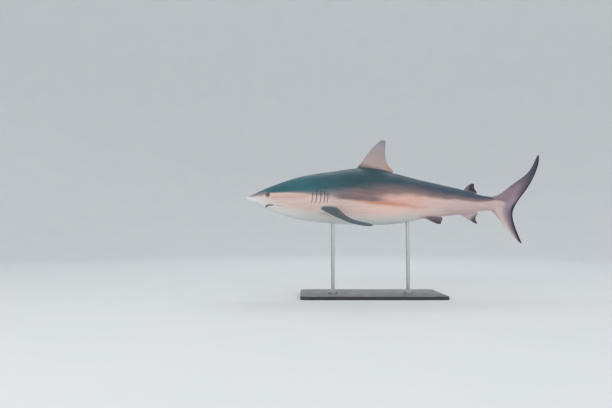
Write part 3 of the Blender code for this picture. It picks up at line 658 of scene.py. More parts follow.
# %% Cage tools
NOTES = ("fin_out", "fin_back", "fin_face")
FIN_NAMES = tuple(fin["name"] for fin in MIDLINE_FINS + PAIRED_FINS) + ("tail",)
PATCHES = {  # left, bottom, width and height of each fin's patch on the unwrap
    "tail": (0.01, 0.53, 0.47, 0.45),
    "pectoral_left": (0.50, 0.53, 0.23, 0.21),
    "pectoral_right": (0.75, 0.53, 0.24, 0.21),
    "first_dorsal_right": (0.50, 0.77, 0.23, 0.21),
    "pelvic_left": (0.75, 0.77, 0.115, 0.095),
    "pelvic_right": (0.875, 0.77, 0.115, 0.095),
    "second_dorsal_right": (0.75, 0.885, 0.115, 0.095),
    "anal_right": (0.875, 0.885, 0.115, 0.095),
}


class Cage:
    """The control cage: its corners with their notes, and its faces with their unwrap."""

    def __init__(self):
        self.bm = bmesh.new()
        self.uv = self.bm.loops.layers.uv.new("OFBake")
        self.notes = {n: self.bm.verts.layers.float.new(n) for n in NOTES + FIN_NAMES}

    def corner(self, place, **notes):
        """Adds a corner and writes its notes."""
        vert = self.bm.verts.new(place)
        for name, value in notes.items():
            vert[self.notes[name]] = value
        return vert

    def face(self, corners, unwrap):
        """Adds a face, with the place of each of its corners on the unwrap."""
        face = self.bm.faces.new(corners)
        for loop, uv in zip(face.loops, unwrap):
            loop[self.uv].uv = uv

    def tube(self, loop, ring, patch, low, high):
        """Joins two loops of corners with a band of faces."""
        left, bottom, width, height = patch
        count = len(loop)
        for k in range(count):
            m = (k + 1) % count
            a, b = left + width * k / count, left + width * (k + 1) / count
            c, d = bottom + height * low, bottom + height * high
            self.face((loop[k], loop[m], ring[m], ring[k]), ((a, c), (b, c), (b, d), (a, d)))

    def close(self, loop, patch):
        """Closes a flat loop, whose two faces run side by side, with a strip between them."""
        left, bottom, width, height = patch
        half = len(loop) // 2
        top = bottom + height

        def at(k, m):
            return left + width * k / half, top + 0.01 * m

        pairs = [(loop[k], loop[-k]) for k in range(1, half)]
        self.face((loop[0], pairs[0][0], pairs[0][1]), (at(0, 0.5), at(1, 0), at(1, 1)))
        for k, ((a, b), (c, d)) in enumerate(zip(pairs, pairs[1:]), start=1):
            self.face((a, c, d, b), (at(k, 0), at(k + 1, 0), at(k + 1, 1), at(k, 1)))
        unwrap = (at(half - 1, 0), at(half, 0.5), at(half - 1, 1))
        self.face((pairs[-1][0], loop[half], pairs[-1][1]), unwrap)


print("notes on each corner:", len(NOTES + FIN_NAMES))


# %% Body of the cage
def ring_span(fin):
    """The numbers of the first and last ring that a fin grows from."""
    return RINGS.index(fin["rings"][0]), RINGS.index(fin["rings"][1])


def rooted_faces():
    """The cage faces, by ring and column, that the fins grow from."""
    taken = set()
    for fin, side in GROWN:
        first, last = ring_span(fin)
        column = SIDES[side] * fin["column"]
        taken |= {(i, (column - k) % ROUND) for i in range(first, last) for k in (0, 1)}
    return taken


def cage_body(cage):
    """The rings of the body, with faces wherever no fin grows."""
    angles = list(COLUMNS) + [360 - a for a in COLUMNS[-2:0:-1]]
    places = swollen(np.array([[surface(x, a) for a in angles] for x in RINGS]))
    places[:, 0, 1] = places[:, len(COLUMNS) - 1, 1] = 0.0
    grid = [[cage.corner(p) for p in ring] for ring in places]
    tip, taken = cage.corner((0, 0, 0)), rooted_faces()
    along = [x / TAIL_ROOT for x in RINGS]
    for j in range(ROUND):
        k, low, high = (j + 1) % ROUND, 0.5 * j / ROUND, 0.5 * (j + 1) / ROUND
        unwrap = ((0, (low + high) / 2), (along[0], low), (along[0], high))
        cage.face((tip, grid[0][j], grid[0][k]), unwrap)
        for i in range(len(RINGS) - 1):
            if (i, j) not in taken:
                a, b = along[i], along[i + 1]
                corners = (grid[i][j], grid[i + 1][j], grid[i + 1][k], grid[i][k])
                cage.face(corners, ((a, low), (b, low), (b, high), (a, high)))
    return grid


cage = Cage()
grid = cage_body(cage)
print("cage of the body:", len(cage.bm.faces), "faces")


# %% Fins of the cage
def cage_fin(cage, grid, fin, side):
    """Draws the cage out of the fin's root, level by level, and closes it at the tip."""
    first, last = ring_span(fin)
    turn, patch = SIDES[side], PATCHES[f"{fin['name']}_{side}"]
    column = turn * fin["column"] % ROUND
    front, rear = (column - turn) % ROUND, (column + turn) % ROUND
    rings = range(first, last + 1)
    loop = [grid[first][column]] + [grid[i][front] for i in rings]
    loop += [grid[last][column]] + [grid[i][rear] for i in reversed(rings)]
    n, below = last - first, 0.0
    chord = [0.03] + [i / n for i in range(1, n)] + [0.97]
    stations = [(0, 0)] + [(u, 1) for u in chord] + [(1, 0)] + [(u, -1) for u in reversed(chord)]
    for level in fin["levels"]:
        ring = []
        for share, face in stations:
            x, y, z = fin_point(fin, side, level, share, face)
            notes = {"fin_out": level, "fin_back": share, "fin_face": face, fin["name"]: 1.0}
            ring.append(cage.corner((x, turn * y, z), **notes))
        cage.tube(loop, ring, patch, below, level)
        loop, below = ring, level
    cage.close(loop, patch)


def cage_tail(cage, loop):
    """Draws the cage out of the last ring of the body, flattening it into the tail fin."""
    half, below = ROUND // 2, 0.0
    shares = [j / half for j in range(half + 1)]
    for row in TAIL_ROWS:
        ring = []
        for j in range(ROUND):
            share = shares[j] if j <= half else shares[ROUND - j]
            x, y, z = tail_point(row, share)
            y = 0.0 if j in (0, half) else y if j < half else -y
            ring.append(cage.corner((x, y, z), fin_out=row, fin_back=share, tail=1.0))
        cage.tube(loop, ring, PATCHES["tail"], below, row)
        loop, below = ring, row
    cage.close(loop, PATCHES["tail"])


for fin, side in GROWN:
    cage_fin(cage, grid, fin, side)
cage_tail(cage, grid[-1])
bmesh.ops.delete(cage.bm, geom=[v for v in cage.bm.verts if not v.link_faces], context="VERTS")
bmesh.ops.recalc_face_normals(cage.bm, faces=cage.bm.faces)
cage_mesh = bpy.data.meshes.new("cage")
cage.bm.to_mesh(cage_mesh)
cage.bm.free()
print("cage:", len(cage_mesh.vertices), "corners,", len(cage_mesh.polygons), "faces")

# %% [markdown]
# ## Smoothing, and a finer mesh where the detail is
#
# Subdivision turns the cage into a smooth skin with a face about every two millimetres. That is
# fine for the flanks, but a gill slit is only two or three millimetres wide. Halving every face
# of the fish again would be wasteful, so only those round the eyes, mouth, nostrils, gills and
# vent are divided further, and those at the eyes' rims once more.

# %% Places of the small forms
EYE = (0.139, 0.008)
EYE_RADIUS, EYE_DEPTH = 0.0225, 0.0185
GILL_SLITS = (0.384, 0.406, 0.430, 0.451, 0.468)
GILL_TOP, GILL_BOTTOM, GILL_SLANT = 0.024, -0.037, 0.10
MOUTH_LINE = (
    (0.108, -0.072), (0.118, -0.0625), (0.130, -0.0535), (0.148, -0.048), (0.185, -0.050),
    (0.236, -0.062),
)  # fmt: skip
NOSTRIL = (0.070, 0.050, -0.034)
VENT_PLACE = 1.060
print("eye", EYE, "nostril", NOSTRIL, "first and last gill slit", GILL_SLITS[0], GILL_SLITS[-1])

# %% Smooth skin
SMOOTHING = 4  # rounds of subdivision


def smoothed(mesh, levels):
    """A copy of the mesh with that many rounds of subdivision."""
    holder = add_object("holder", mesh)
    modifier = holder.modifiers.new("smooth", "SUBSURF")
    modifier.levels = modifier.render_levels = levels
    bpy.context.view_layer.update()
    graph = bpy.context.evaluated_depsgraph_get()
    result = bpy.data.meshes.new_from_object(holder.evaluated_get(graph))
    bpy.data.objects.remove(holder)
    return result


def needs_detail(c):
    """True for a place of the straight fish where small forms are modelled."""
    near_eye = hypot(c.x - EYE[0], c.z - EYE[1]) < 0.026
    near_gills = 0.366 < c.x < 0.492 and -0.056 < c.z < 0.046 and abs(c.y) > 0.09
    near_mouth = 0.095 < c.x < 0.255 and -0.090 < c.z < -0.030
    away = (c.x - NOSTRIL[0]) ** 2 + (abs(c.y) - NOSTRIL[1]) ** 2
    near_nostril = away < 0.020**2 and c.z < -0.010
    near_vent = abs(c.x - VENT_PLACE) < 0.03 and abs(c.y) < 0.012 and c.z < -0.09
    return near_eye or near_gills or near_mouth or near_nostril or near_vent


def at_eye_rim(c):
    """True close to the eye's opening, where rim and eyelid are the finest forms of all."""
    return 0.008 < hypot(c.x - EYE[0], c.z - EYE[1]) < 0.0165


def refine(bm, wanted):
    """Halves the faces whose middles are wanted, and eases the new corners into the surface."""
    chosen = [f for f in bm.faces if wanted(f.calc_center_median())]
    edges = list(dict.fromkeys(e for f in chosen for e in f.edges))
    bmesh.ops.subdivide_edges(bm, edges=edges, cuts=1, use_grid_fill=True)
    chosen = [f for f in bm.faces if wanted(f.calc_center_median())]
    fresh = list(dict.fromkeys(v for f in chosen for v in f.verts))
    axes = {"use_axis_x": True, "use_axis_y": True, "use_axis_z": True}
    bmesh.ops.smooth_vert(bm, verts=fresh, factor=0.5, **axes)


skin_mesh = smoothed(cage_mesh, SMOOTHING)
bm = bmesh.new()
bm.from_mesh(skin_mesh)
refine(bm, needs_detail)
refine(bm, at_eye_rim)
bm.to_mesh(skin_mesh)
bm.free()
print("smooth skin:", len(skin_mesh.vertices), "points,", len(skin_mesh.polygons), "faces")

# %% [markdown]
# ## Reading the skin as columns of numbers
#
# With hundreds of thousands of points, work is done on whole columns of numbers at once. Each
# point's place on the straight fish, its outward direction and its notes are read into arrays.
# Most small forms are then made of two shapes: `wave` is a soft hump, or a trough where it is
# taken away, and `between` is a range with soft ends.

# %% Arrays
count = len(skin_mesh.vertices)
rest = np.empty(count * 3)
skin_mesh.vertices.foreach_get("co", rest)
rest = rest.reshape(-1, 3)
normal = np.empty(count * 3)
skin_mesh.vertices.foreach_get("normal", normal)
normal = normal.reshape(-1, 3)


def note(name):
    """One note of every point, as a column of numbers."""
    values = np.empty(count)
    skin_mesh.attributes[name].data.foreach_get("value", values)
    return values


notes = {name: note(name) for name in NOTES + FIN_NAMES}
X, Y, Z = rest.T
any_fin = np.clip(sum(notes[name] for name in FIN_NAMES), 0, 1)
on_body = ease(1 - any_fin * 1.6)
push = np.zeros(count)  # how far each point moves outwards, in metres
# painted shade: the dark painted inside slits, folds, nostrils, eye sockets and the vent, where
# shade falls
painted_recess_shade = np.zeros(count)  # how deep inside a slit or fold each point is, 0 to 1


def wave(distance, width):
    """1 at distance 0, falling softly to 0 beyond about two widths."""
    return np.exp(-((distance / width) ** 2))


def between(value, low, high, soft):
    """1 inside the range, falling softly to 0 within soft of its ends."""
    return ease((value - low) / soft + 0.5) * ease((high - value) / soft + 0.5)


print("points on the body:", int((on_body > 0.5).sum()))

# %% [markdown]
# ## Gill slits
#
# A reef shark has five slits on each side, the last one or two over the root of the pectoral fin.
# Each is the free edge of a flap: the skin swells a little towards the edge, drops sharply into a
# slit whose shade is painted dark, and comes up gently again over the next flap. So the form
# across a slit is a hump, a narrow trough and a shallow hollow, and it fades out at the slit's
# ends. A painted highlight lies on each flap just ahead of its slit.

# %% Gills
SLIT_WIDTH, SLIT_DEPTH, SLIT_BOW, SLIT_FADE = 0.0013, 0.0075, 0.003, 0.012
FLAP_RISE, FLAP_WIDTH, HOLLOW_DEPTH, HOLLOW_WIDTH = 0.0030, 0.0050, 0.0022, 0.0050
HIGHLIGHT_AHEAD, HIGHLIGHT_WIDTH = 0.008, 0.0055  # the painted highlight on the flap ahead of each slit
SLIT_SHORTER = (0.004, 0.0, 0.0, 0.002, 0.008)  # how much lower each slit starts, front to rear

middle, flank_only = (GILL_TOP + GILL_BOTTOM) / 2, rising(np.abs(Y), 0.085, 0.02) * on_body
painted_flap_highlight = np.zeros(count)
for x, lower in zip(GILL_SLITS, SLIT_SHORTER):
    low, high = GILL_BOTTOM + lower / 2, GILL_TOP - lower
    bow = SLIT_BOW * ((Z - middle) / (GILL_TOP - middle)) ** 2
    behind = X - (x + GILL_SLANT * (Z - middle) - bow)
    tall = between(Z, low, high, SLIT_FADE) * flank_only
    flap = wave(behind + FLAP_WIDTH, FLAP_WIDTH) * between(Z, low - 0.006, high + 0.004, 0.02)
    push += FLAP_RISE * flap * flank_only
    # painted highlight where light catches the flap ahead of the slit, fading towards the slit's
    # top
    flap_highlight = wave(behind + HIGHLIGHT_AHEAD, HIGHLIGHT_WIDTH) * tall * falling(Z, 0.012, 0.03)
    painted_flap_highlight = np.maximum(painted_flap_highlight, flap_highlight)
    push -= HOLLOW_DEPTH * wave(behind - HOLLOW_WIDTH, HOLLOW_WIDTH) * tall
    push -= SLIT_DEPTH * wave(behind, SLIT_WIDTH) * tall
    shadow = 0.55 + 0.45 * rising(Z, -0.025, 0.035)  # a slit looks darkest at its top
    # painted shade inside the slit, darkest at its top
    painted_recess_shade = np.maximum(painted_recess_shade, wave(behind, SLIT_WIDTH * 1.25) * tall * shadow)
print("gill slits:", len(GILL_SLITS), "a side, deepest", round(-1000 * push.min(), 1), "mm")

# %% [markdown]
# ## Mouth
#
# The mouth lies well back under the snout, and its line arches up and then down to the corner.
# The skin ahead of it is drawn in, so the lower jaw stands out below with a soft lip. The fold is
# deepest in front and fades towards the corner. To know how near a point is to the mouth, its
# distance to the line is measured; points above and ahead of the line belong to the snout, those
# below and behind it to the jaw.

# %% Distance to the mouth
MOUTH_STEPS = 240


def nearest_on(line, x, z):
    """For each (x, z), its distance to a line of points, and the x of the nearest place on it."""
    best, at = np.full(len(x), 9.0), np.zeros(len(x))
    for (x0, z0), (x1, z1) in zip(line[:-1], line[1:]):
        run, rise = x1 - x0, z1 - z0
        share = np.clip(((x - x0) * run + (z - z0) * rise) / (run**2 + rise**2), 0, 1)
        away = np.hypot(x - x0 - share * run, z - z0 - share * rise)
        at = np.where(away < best, x0 + share * run, at)
        best = np.minimum(best, away)
    return best, at


knots = np.array(MOUTH_LINE)
fine = np.linspace(0, len(knots) - 1, MOUTH_STEPS)
order = np.arange(len(knots), dtype=float)
line = through(fine, np.column_stack([order, knots]))
near = np.flatnonzero((X > 0.06) & (X < 0.29) & (Z < 0.0) & (on_body > 0.5))
away, at = nearest_on(line, X[near], Z[near])
mouth_height = np.interp(X[near], line[:, 0], line[:, 1])
on_jaw = (X[near] > line[0, 0]) & (Z[near] < mouth_height)
signed = np.where(on_jaw, -away, away)
print("mouth from", line[0].round(3), "to", line[-1].round(3))

# %% Mouth
LIP_DEPTH, LIP_WIDTH, LIP_EDGE = 0.0085, 0.0019, 0.0015
SNOUT_TUCK, SNOUT_TUCK_WIDTH = 0.0075, 0.012
JAW_LIP, JAW_LIP_WIDTH, JAW_LIP_BELOW = 0.0018, 0.005, 0.006
MOUTH_CORNER, FRONT_END, TUCK_END = 0.234, 0.185, 0.175  # where fold, deep front and tuck end
SHADOW_END, DEEP_SHADOW_END = 0.238, 0.176

open_share = falling(at, MOUTH_CORNER, 0.030)
front = falling(at, FRONT_END, 0.05)
lip_width = LIP_WIDTH * (1 + 0.4 * front)
push[near] -= LIP_DEPTH * wave(signed, lip_width) * (0.30 + 0.25 * open_share + 0.45 * front)
tuck = wave(np.maximum(signed, 0), SNOUT_TUCK_WIDTH) * (signed > 0)
blend = ease(signed / LIP_EDGE + 0.5)
tucked = falling(at, TUCK_END, 0.06)
push[near] -= SNOUT_TUCK * tuck * blend * (0.22 + 0.78 * tucked) * open_share
push[near] += JAW_LIP * wave(signed + JAW_LIP_BELOW, JAW_LIP_WIDTH) * open_share
shadow = 0.20 * falling(at, SHADOW_END, 0.040) + 0.75 * falling(at, DEEP_SHADOW_END, 0.022)
# painted shade in the mouth's fold, darkest in front
painted_recess_shade[near] = np.maximum(painted_recess_shade[near], wave(signed, 1.1 * lip_width) * shadow)
print("points shaped by the mouth:", len(near))

# %% [markdown]
# ## Nostrils, eye sockets and vent
#
# The nostrils are slanting slits under the snout, each with a small flap on its front edge. The
# eye's opening is a round rim a little proud of the skin; inside it the skin dives behind the
# eyeball, so no gap shows. Reef sharks have an inner eyelid that can slide over the eye from
# below: it shows as a pale crescent lying on the ball, at the lower front of the opening. The
# vent is a short slit between the pelvic fins.

# %% Nostrils
NOSTRIL_LENGTH, NOSTRIL_WIDTH, NOSTRIL_DEPTH, NOSTRIL_SLANT = 0.0085, 0.0016, 0.006, radians(35)
NOSTRIL_FLAP_AT, NOSTRIL_FLAP_SIZE = (0.0020, 0.0035), (0.0065, 0.0028)  # along and across it
NOSTRIL_FLAP_HEIGHT = 0.0016


def normal_at(point):
    """The outward direction of the skin nearest to a point of the straight fish."""
    nearest = np.argmin(((rest - point) ** 2).sum(1))
    return normal[nearest]


for side in SIDES.values():
    centre = np.array([NOSTRIL[0], side * NOSTRIL[1], NOSTRIL[2]])
    out = normal_at(centre)
    along = np.array([cos(NOSTRIL_SLANT), -side * sin(NOSTRIL_SLANT), 0.0])
    along -= out * along.dot(out)
    along /= np.linalg.norm(along)
    reach = rest - centre
    u, v = reach @ along, reach @ np.cross(out, along) * side
    close = on_body * (np.abs(reach @ out) < 0.02)
    slit = wave(v, NOSTRIL_WIDTH) * between(u, -NOSTRIL_LENGTH, NOSTRIL_LENGTH, 0.006) * close
    flap = wave(v - NOSTRIL_FLAP_AT[1], NOSTRIL_FLAP_SIZE[1])
    flap = flap * wave(u - NOSTRIL_FLAP_AT[0], NOSTRIL_FLAP_SIZE[0]) * close
    push += NOSTRIL_FLAP_HEIGHT * flap - NOSTRIL_DEPTH * slit
    # painted shade inside the nostril's slit
    painted_recess_shade = np.maximum(painted_recess_shade, slit)
print("nostrils", round(2000 * NOSTRIL_LENGTH), "mm long")

# %% Eye sockets and vent
EYE_OPENING, RIM_HEIGHT, RIM_WIDTH, SOCKET_DEPTH = 0.0126, 0.0016, 0.0022, 0.0105
LID_BACK, LID_UP, LID_OPENING, LID_LIFT = 0.0014, 0.0030, 0.0122, 0.0009
OPENING_EDGE, LID_EDGE = 0.0012, 0.0009  # the width over which each edge turns over
VENT_LENGTH, VENT_WIDTH, VENT_DEPTH = 0.026, 0.0022, 0.005


def eye_place(side):
    """The middle of the eyeball, set into the head from the skin beside it."""
    x, z = EYE
    return np.array([x, side * (side_skin(x, z) - EYE_DEPTH), z])


sight, lids = {}, np.zeros(count)
for name, side in SIDES.items():
    centre = eye_place(side)
    out = normal_at(centre + [0, side * EYE_DEPTH, 0])
    sight[name] = (centre, out)
    reach = rest - centre
    depth = reach @ out
    radius = np.linalg.norm(reach - depth[:, None] * out, axis=1)
    facing = (depth > 0) & (radius < 0.04)
    inside = ease((EYE_OPENING - radius) / OPENING_EDGE + 0.5) * facing
    rim = wave(radius - EYE_OPENING - RIM_WIDTH, RIM_WIDTH) * facing
    upwards = np.array([0.0, 0.0, 1.0]) - out * out[2]
    backwards = np.array([1.0, 0.0, 0.0]) - out * out[0]
    from_gap = np.hypot(reach @ backwards - LID_BACK, reach @ upwards - LID_UP)
    lid = ease((from_gap - LID_OPENING) / LID_EDGE + 0.5)
    over_ball = np.sqrt(np.maximum(EYE_RADIUS**2 - radius**2, 0)) + LID_LIFT - depth
    push += RIM_HEIGHT * rim * (1 - inside) + inside * (lid * over_ball - (1 - lid) * SOCKET_DEPTH)
    lids = np.maximum(lids, inside * lid)
    # painted shade in the socket, where the skin dives behind the ball
    painted_recess_shade = np.maximum(painted_recess_shade, inside * (1 - lid))

under = (Z < -0.08) & (X > 1.0) & (X < 1.12)
vent_start, vent_end = VENT_PLACE - VENT_LENGTH / 2, VENT_PLACE + VENT_LENGTH / 2
vent = wave(Y, VENT_WIDTH) * between(X, vent_start, vent_end, 0.008) * under * on_body
push -= VENT_DEPTH * vent
# painted shade inside the vent
painted_recess_shade = np.maximum(painted_recess_shade, 0.7 * vent)
print("eyes at", [tuple(c.round(3)) for c, _ in sight.values()])

# %% [markdown]
# ## Larger soft forms
#
# A live shark is not a smooth cigar. A low ridge runs along the back between the two dorsal fins,
# a crescent pit marks where the tail fin starts, a faint line runs along each flank, and the
# muscle above and below it swells a little. These are gentle, so they show mainly in the light.

# %% Ridge, pit, flank line and muscle
RIDGE = (0.850, 1.262)
RIDGE_HEIGHT, RIDGE_WIDTH = 0.0022, 0.0035
PIT_PLACE, PIT_DEPTH, PIT_ALONG, PIT_ACROSS = 1.462, 0.0045, 0.0045, 0.016
LINE_DEPTH, LINE_WIDTH, GROOVE_DEPTH, GROOVE_WIDTH = 0.0006, 0.0016, 0.0012, 0.012
FLANK_LINE = ((0.20, 0.040), (0.45, 0.044), (0.70, 0.040), (1.00, 0.018), (1.46, -0.020))

top_side = rising(Z, 0.0, 0.01) * on_body
push += RIDGE_HEIGHT * wave(Y, RIDGE_WIDTH) * between(X, *RIDGE, 0.05) * top_side
near_top = wave(Y, PIT_ACROSS) * rising(Z, -0.005, 0.01)
push -= PIT_DEPTH * wave(X - PIT_PLACE, PIT_ALONG) * near_top
from_line = Z - through(X, FLANK_LINE)[:, 0]
flank = on_body * rising(np.abs(Y), 0.01, 0.02) * between(X, 0.24, 1.46, 0.1)
push -= LINE_DEPTH * wave(from_line, LINE_WIDTH) * flank
push -= GROOVE_DEPTH * wave(from_line, GROOVE_WIDTH) * flank * rising(X, 0.5, 0.2)
rest_moved = rest + normal * push[:, None]
print("ridge", RIDGE, "pit at", PIT_PLACE)

# %% [markdown]
# ## Markings
#
# A reef shark is dark above and pale below. On the head the two meet in a straight, fairly sharp
# line at the height of the eye. Behind the gills the dark spreads down the shoulder in a soft
# cloud, and a tongue of it runs back along the flank and turns into a bronze band. Each marking is
# a rule: a curve along the body for where it starts, another for where it is full, and a soft step
# between them. The rules give layers of numbers from 0 to 1, which the finish then paints.

# %% Body markings
BACK_STARTS = (  # distance along the body, and the height where the dark back starts
    (0.00, 0.004), (0.03, -0.009), (0.06, -0.010), (0.10, -0.006), (0.125, 0.010), (0.15, 0.0185),
    (0.22, 0.018), (0.30, 0.012), (0.36, 0.002), (0.40, -0.006), (0.44, -0.016), (0.50, -0.030),
    (0.60, -0.036), (0.70, -0.044), (0.80, -0.033), (0.90, -0.023), (1.0, -0.024), (1.1, -0.026),
    (1.2, -0.031), (1.3, -0.038), (1.4, -0.034), (1.46, -0.024), (1.53, -0.018),
)  # fmt: skip
BACK_FULL = (  # and the height where it is full
    (0.00, 0.044), (0.05, 0.056), (0.10, 0.056), (0.125, 0.045), (0.15, 0.031), (0.30, 0.037),
    (0.40, 0.048), (0.44, 0.056), (0.50, 0.070), (0.60, 0.080), (0.70, 0.096), (0.80, 0.102),
    (0.90, 0.090), (1.0, 0.068), (1.1, 0.044), (1.2, 0.028), (1.3, 0.010), (1.4, 0.003),
    (1.53, 0.010),
)  # fmt: skip
TONGUE = (  # distance, height and strength
    (0.50, -0.004, 0.00), (0.56, -0.006, 0.28), (0.62, -0.011, 0.34), (0.70, -0.017, 0.26),
    (0.80, -0.030, 0.14), (0.90, -0.044, 0.05), (1.00, -0.050, 0.00),
)  # fmt: skip
BRONZE = (
    (0.56, -0.018, 0.00), (0.64, -0.030, 0.30), (0.72, -0.036, 0.75), (0.80, -0.041, 0.95),
    (0.88, -0.049, 0.70), (0.96, -0.057, 0.35), (1.06, -0.064, 0.00),
)  # fmt: skip


def stripe(knots, width):
    """A soft stripe whose middle height and strength follow knots (x, height, strength)."""
    height, strength = through(X, knots).T
    return strength * wave(Z - height, width)


PALE_TIP = 0.016  # how far back the tip of the snout is pale
starts, full = through(X, BACK_STARTS)[:, 0], through(X, BACK_FULL)[:, 0]
rise = np.clip((Z - starts) / (full - starts), 0, 1)
back = 0.5 * rise + 0.5 * ease(rise) + stripe(TONGUE, 0.013)
back = np.clip(back, 0, 1) * (1 - falling(X, PALE_TIP, PALE_TIP))
bronze = stripe(BRONZE, 0.012) * on_body
underside = section(np.minimum(X, TAIL_ROOT))[:, 1]
belly = (1 - rising(Z - underside, 0.004, 0.070)) * on_body * (1 - rising(X, 0.85, 0.35))
rosy = between(X, 0.70, 1.02, 0.22) * wave(Z + 0.018, 0.040) * on_body
cheek = between(X, 0.15, 0.36, 0.06) * wave(Z, 0.013) * on_body
print("dark back covers", round(100 * float((back > 0.5).mean())), "% of the points")

# %% [markdown]
# ## Fin markings
#
# The fins are dusky. The first dorsal fin is a light brownish grey, the pectoral fins are dark
# above and pale below, and the smaller fins darken towards their tips. The tail fin is a violet
# grey with a near-black rear edge and tips, and its lower lobe has a pale front edge.

# %% Tail fin layers
TAIL_GREY_STARTS = (  # height, and the distance along the body where the violet grey begins
    (-0.16, 1.500), (-0.10, 1.492), (-0.06, 1.500), (-0.026, 1.525), (-0.012, 1.470),
    (-0.004, 1.430), (0.03, 1.420),
)  # fmt: skip
tail_points = np.flatnonzero(X > TAIL_ROOT - 0.03)


def edge_distance(edge):
    """Each point's distance to one edge of the tail fin; a metre for points away from the tail."""
    line = through(np.linspace(0, 1, 60), edge)
    distance = np.full(count, 1.0)
    distance[tail_points] = nearest_on(line, X[tail_points], Z[tail_points])[0]
    return distance


to_rear, to_low = edge_distance(TAIL_REAR_EDGE), edge_distance(TAIL_LOWER_EDGE)
to_top = edge_distance(TAIL_UPPER_EDGE)
# The lobes are told apart by height, and the fin's axis runs up into the upper lobe.
on_tail, lower_lobe = rising(X, 1.455, 0.03), falling(Z, -0.06, 0.03)
margin_width = 0.016 + 0.014 * falling(Z, -0.05, 0.14) + 0.006 * rising(Z, 0.20, 0.10)
margin = 1 - rising(to_rear / margin_width, 0.5, 0.7)
shade = 0.58 * (1 - rising(to_rear, 0.008, 0.050)) * rising(np.abs(Z + 0.02), 0.02, 0.06)
tips = np.maximum(rising(Z, 0.270, 0.09), falling(Z, -0.245, 0.05))
top_edge = 0.35 * (1 - rising(to_top, 0.002, 0.006)) * rising(X, 1.60, 0.15)
tail_dusk = np.max((margin, shade, 0.95 * tips, top_edge), axis=0) * on_tail
front_strip = (1 - rising(to_low, 0.006, 0.020)) * lower_lobe
tail_start = through(Z, TAIL_GREY_STARTS)[:, 0]
tail_grey = rising(X, tail_start, 0.060) * (1 - 0.92 * front_strip)
axis_height = -0.030 + 0.86 * (X - 1.58)
streak = wave(Z - axis_height, 0.026) * rising(X, 1.50, 0.08) * (1 - rising(X, 1.62, 0.16))
print("points of the tail fin:", len(tail_points))

# %% Fin layers
STALK_LINE = (
    (1.41, -0.002, 0.00), (1.44, -0.004, 0.50), (1.49, -0.012, 0.45), (1.55, -0.020, 0.00),
)  # fmt: skip
out, rear, face = notes["fin_out"], notes["fin_back"], notes["fin_face"]
fins = {name: ease(notes[name] * 1.4 - 0.2) for name in FIN_NAMES}
up_dorsal, rear_share = out + 0.20 * rear, ease(rear / 0.2 + 0.4)
tan = fins["first_dorsal"] * rising(up_dorsal, 0.01, 0.30)
grey = tail_grey * rising(X, 1.43, 0.03) + 0.80 * fins["second_dorsal"] + 0.35 * fins["anal"]
grey = np.clip(grey + 0.85 * fins["pelvic"] * ease(out / 0.3), 0, 1)
parts = (
    tail_dusk,
    stripe(STALK_LINE, 0.008),
    fins["first_dorsal"] * 0.22 * rising(out, 0.75, 0.25),
    fins["second_dorsal"] * (0.35 + 0.60 * rising(rear, 0.05, 0.35)) * ease(out / 0.15),
    fins["pelvic"] * (0.52 + 0.36 * rising(out, 0.1, 0.9)) * ease(out / 0.26) * rear_share,
    fins["anal"] * 0.92 * rising(out + 0.50 * rear, 0.48, 0.50),
)
dusk = np.max(parts, axis=0)
upper = ease(face * 0.8 + 0.5)
dark_pectoral = fins["pectoral"] * np.maximum(upper, 0.9 * rising(out, 0.72, 0.25))
back = back * (1 - fins["second_dorsal"]) * (1 - 0.85 * rising(X, 1.43, 0.07))
back = back * (1 - fins["pectoral"]) * (1 - fins["first_dorsal"] * rising(up_dorsal, 0.01, 0.33))
belly = np.maximum(belly, 0.7 * fins["pectoral"] * (1 - upper))
print("dusk covers", round(100 * float((dusk > 0.5).mean())), "% of the points")

# %% [markdown]
# ## The skin as one object
#
# A layer of numbers on a mesh is called an attribute, and a finish can read it by its name. The
# layers are stored on the skin together with each point's place on the straight fish, so that
# noise sits still on the skin however the fish is bent. Then the points are laid along the curve.

# %% Skin object
snout = (1 - rising(X, 0.075, 0.045)) * (1 - 0.6 * ease(Z / 0.02))
layers = {
    "back": back, "bronze": bronze, "belly": belly, "rosy": rosy, "cheek": cheek, "tan": tan,
    "grey": grey, "streak": streak, "dusk": dusk, "painted_recess_shade": painted_recess_shade, "fin": any_fin,
    "fin_back": rear, "fin_out": out, "slate": dark_pectoral, "painted_flap_highlight": painted_flap_highlight,
    "lids": lids, "snout": snout,
}  # fmt: skip
for name, values in layers.items():
    if name not in skin_mesh.attributes:
        skin_mesh.attributes.new(name, "FLOAT", "POINT")
    skin_mesh.attributes[name].data.foreach_set("value", values.astype(np.float32))
for name in [n for n in NOTES + FIN_NAMES if n not in layers]:
    skin_mesh.attributes.remove(skin_mesh.attributes[name])
skin_mesh.attributes.new("rest", "FLOAT_VECTOR", "POINT")
skin_mesh.attributes["rest"].data.foreach_set("vector", rest.astype(np.float32).ravel())
skin_mesh.vertices.foreach_set("co", pose(rest_moved).astype(np.float32).ravel())
shade_smooth(skin_mesh)
skin_mesh.update()
skin = add_object("shark_skin", skin_mesh)
print("skin:", len(skin_mesh.polygons), "faces")

# %% [markdown]
# ## Skin finish
#
# Shark skin is dull and very finely grained, because it is covered in tiny toothlike scales. The
# base is cream, painted lighter along the middle of the flank where the light falls brightest;
# over it go the belly's white with a faint cool tint of painted bounce light, painted highlights
# on the gill flaps, the rosy flank, the bronze band, the dark back with its shift from sea green
# at the head to slate at the tail, and the fins' greys with a painted highlight at each pectoral
# fin's rear root. Last comes the painted shade inside slits, folds and openings. Noise breaks
# each edge up a little. The relief has three sizes: scales, soft unevenness, and fin rays.

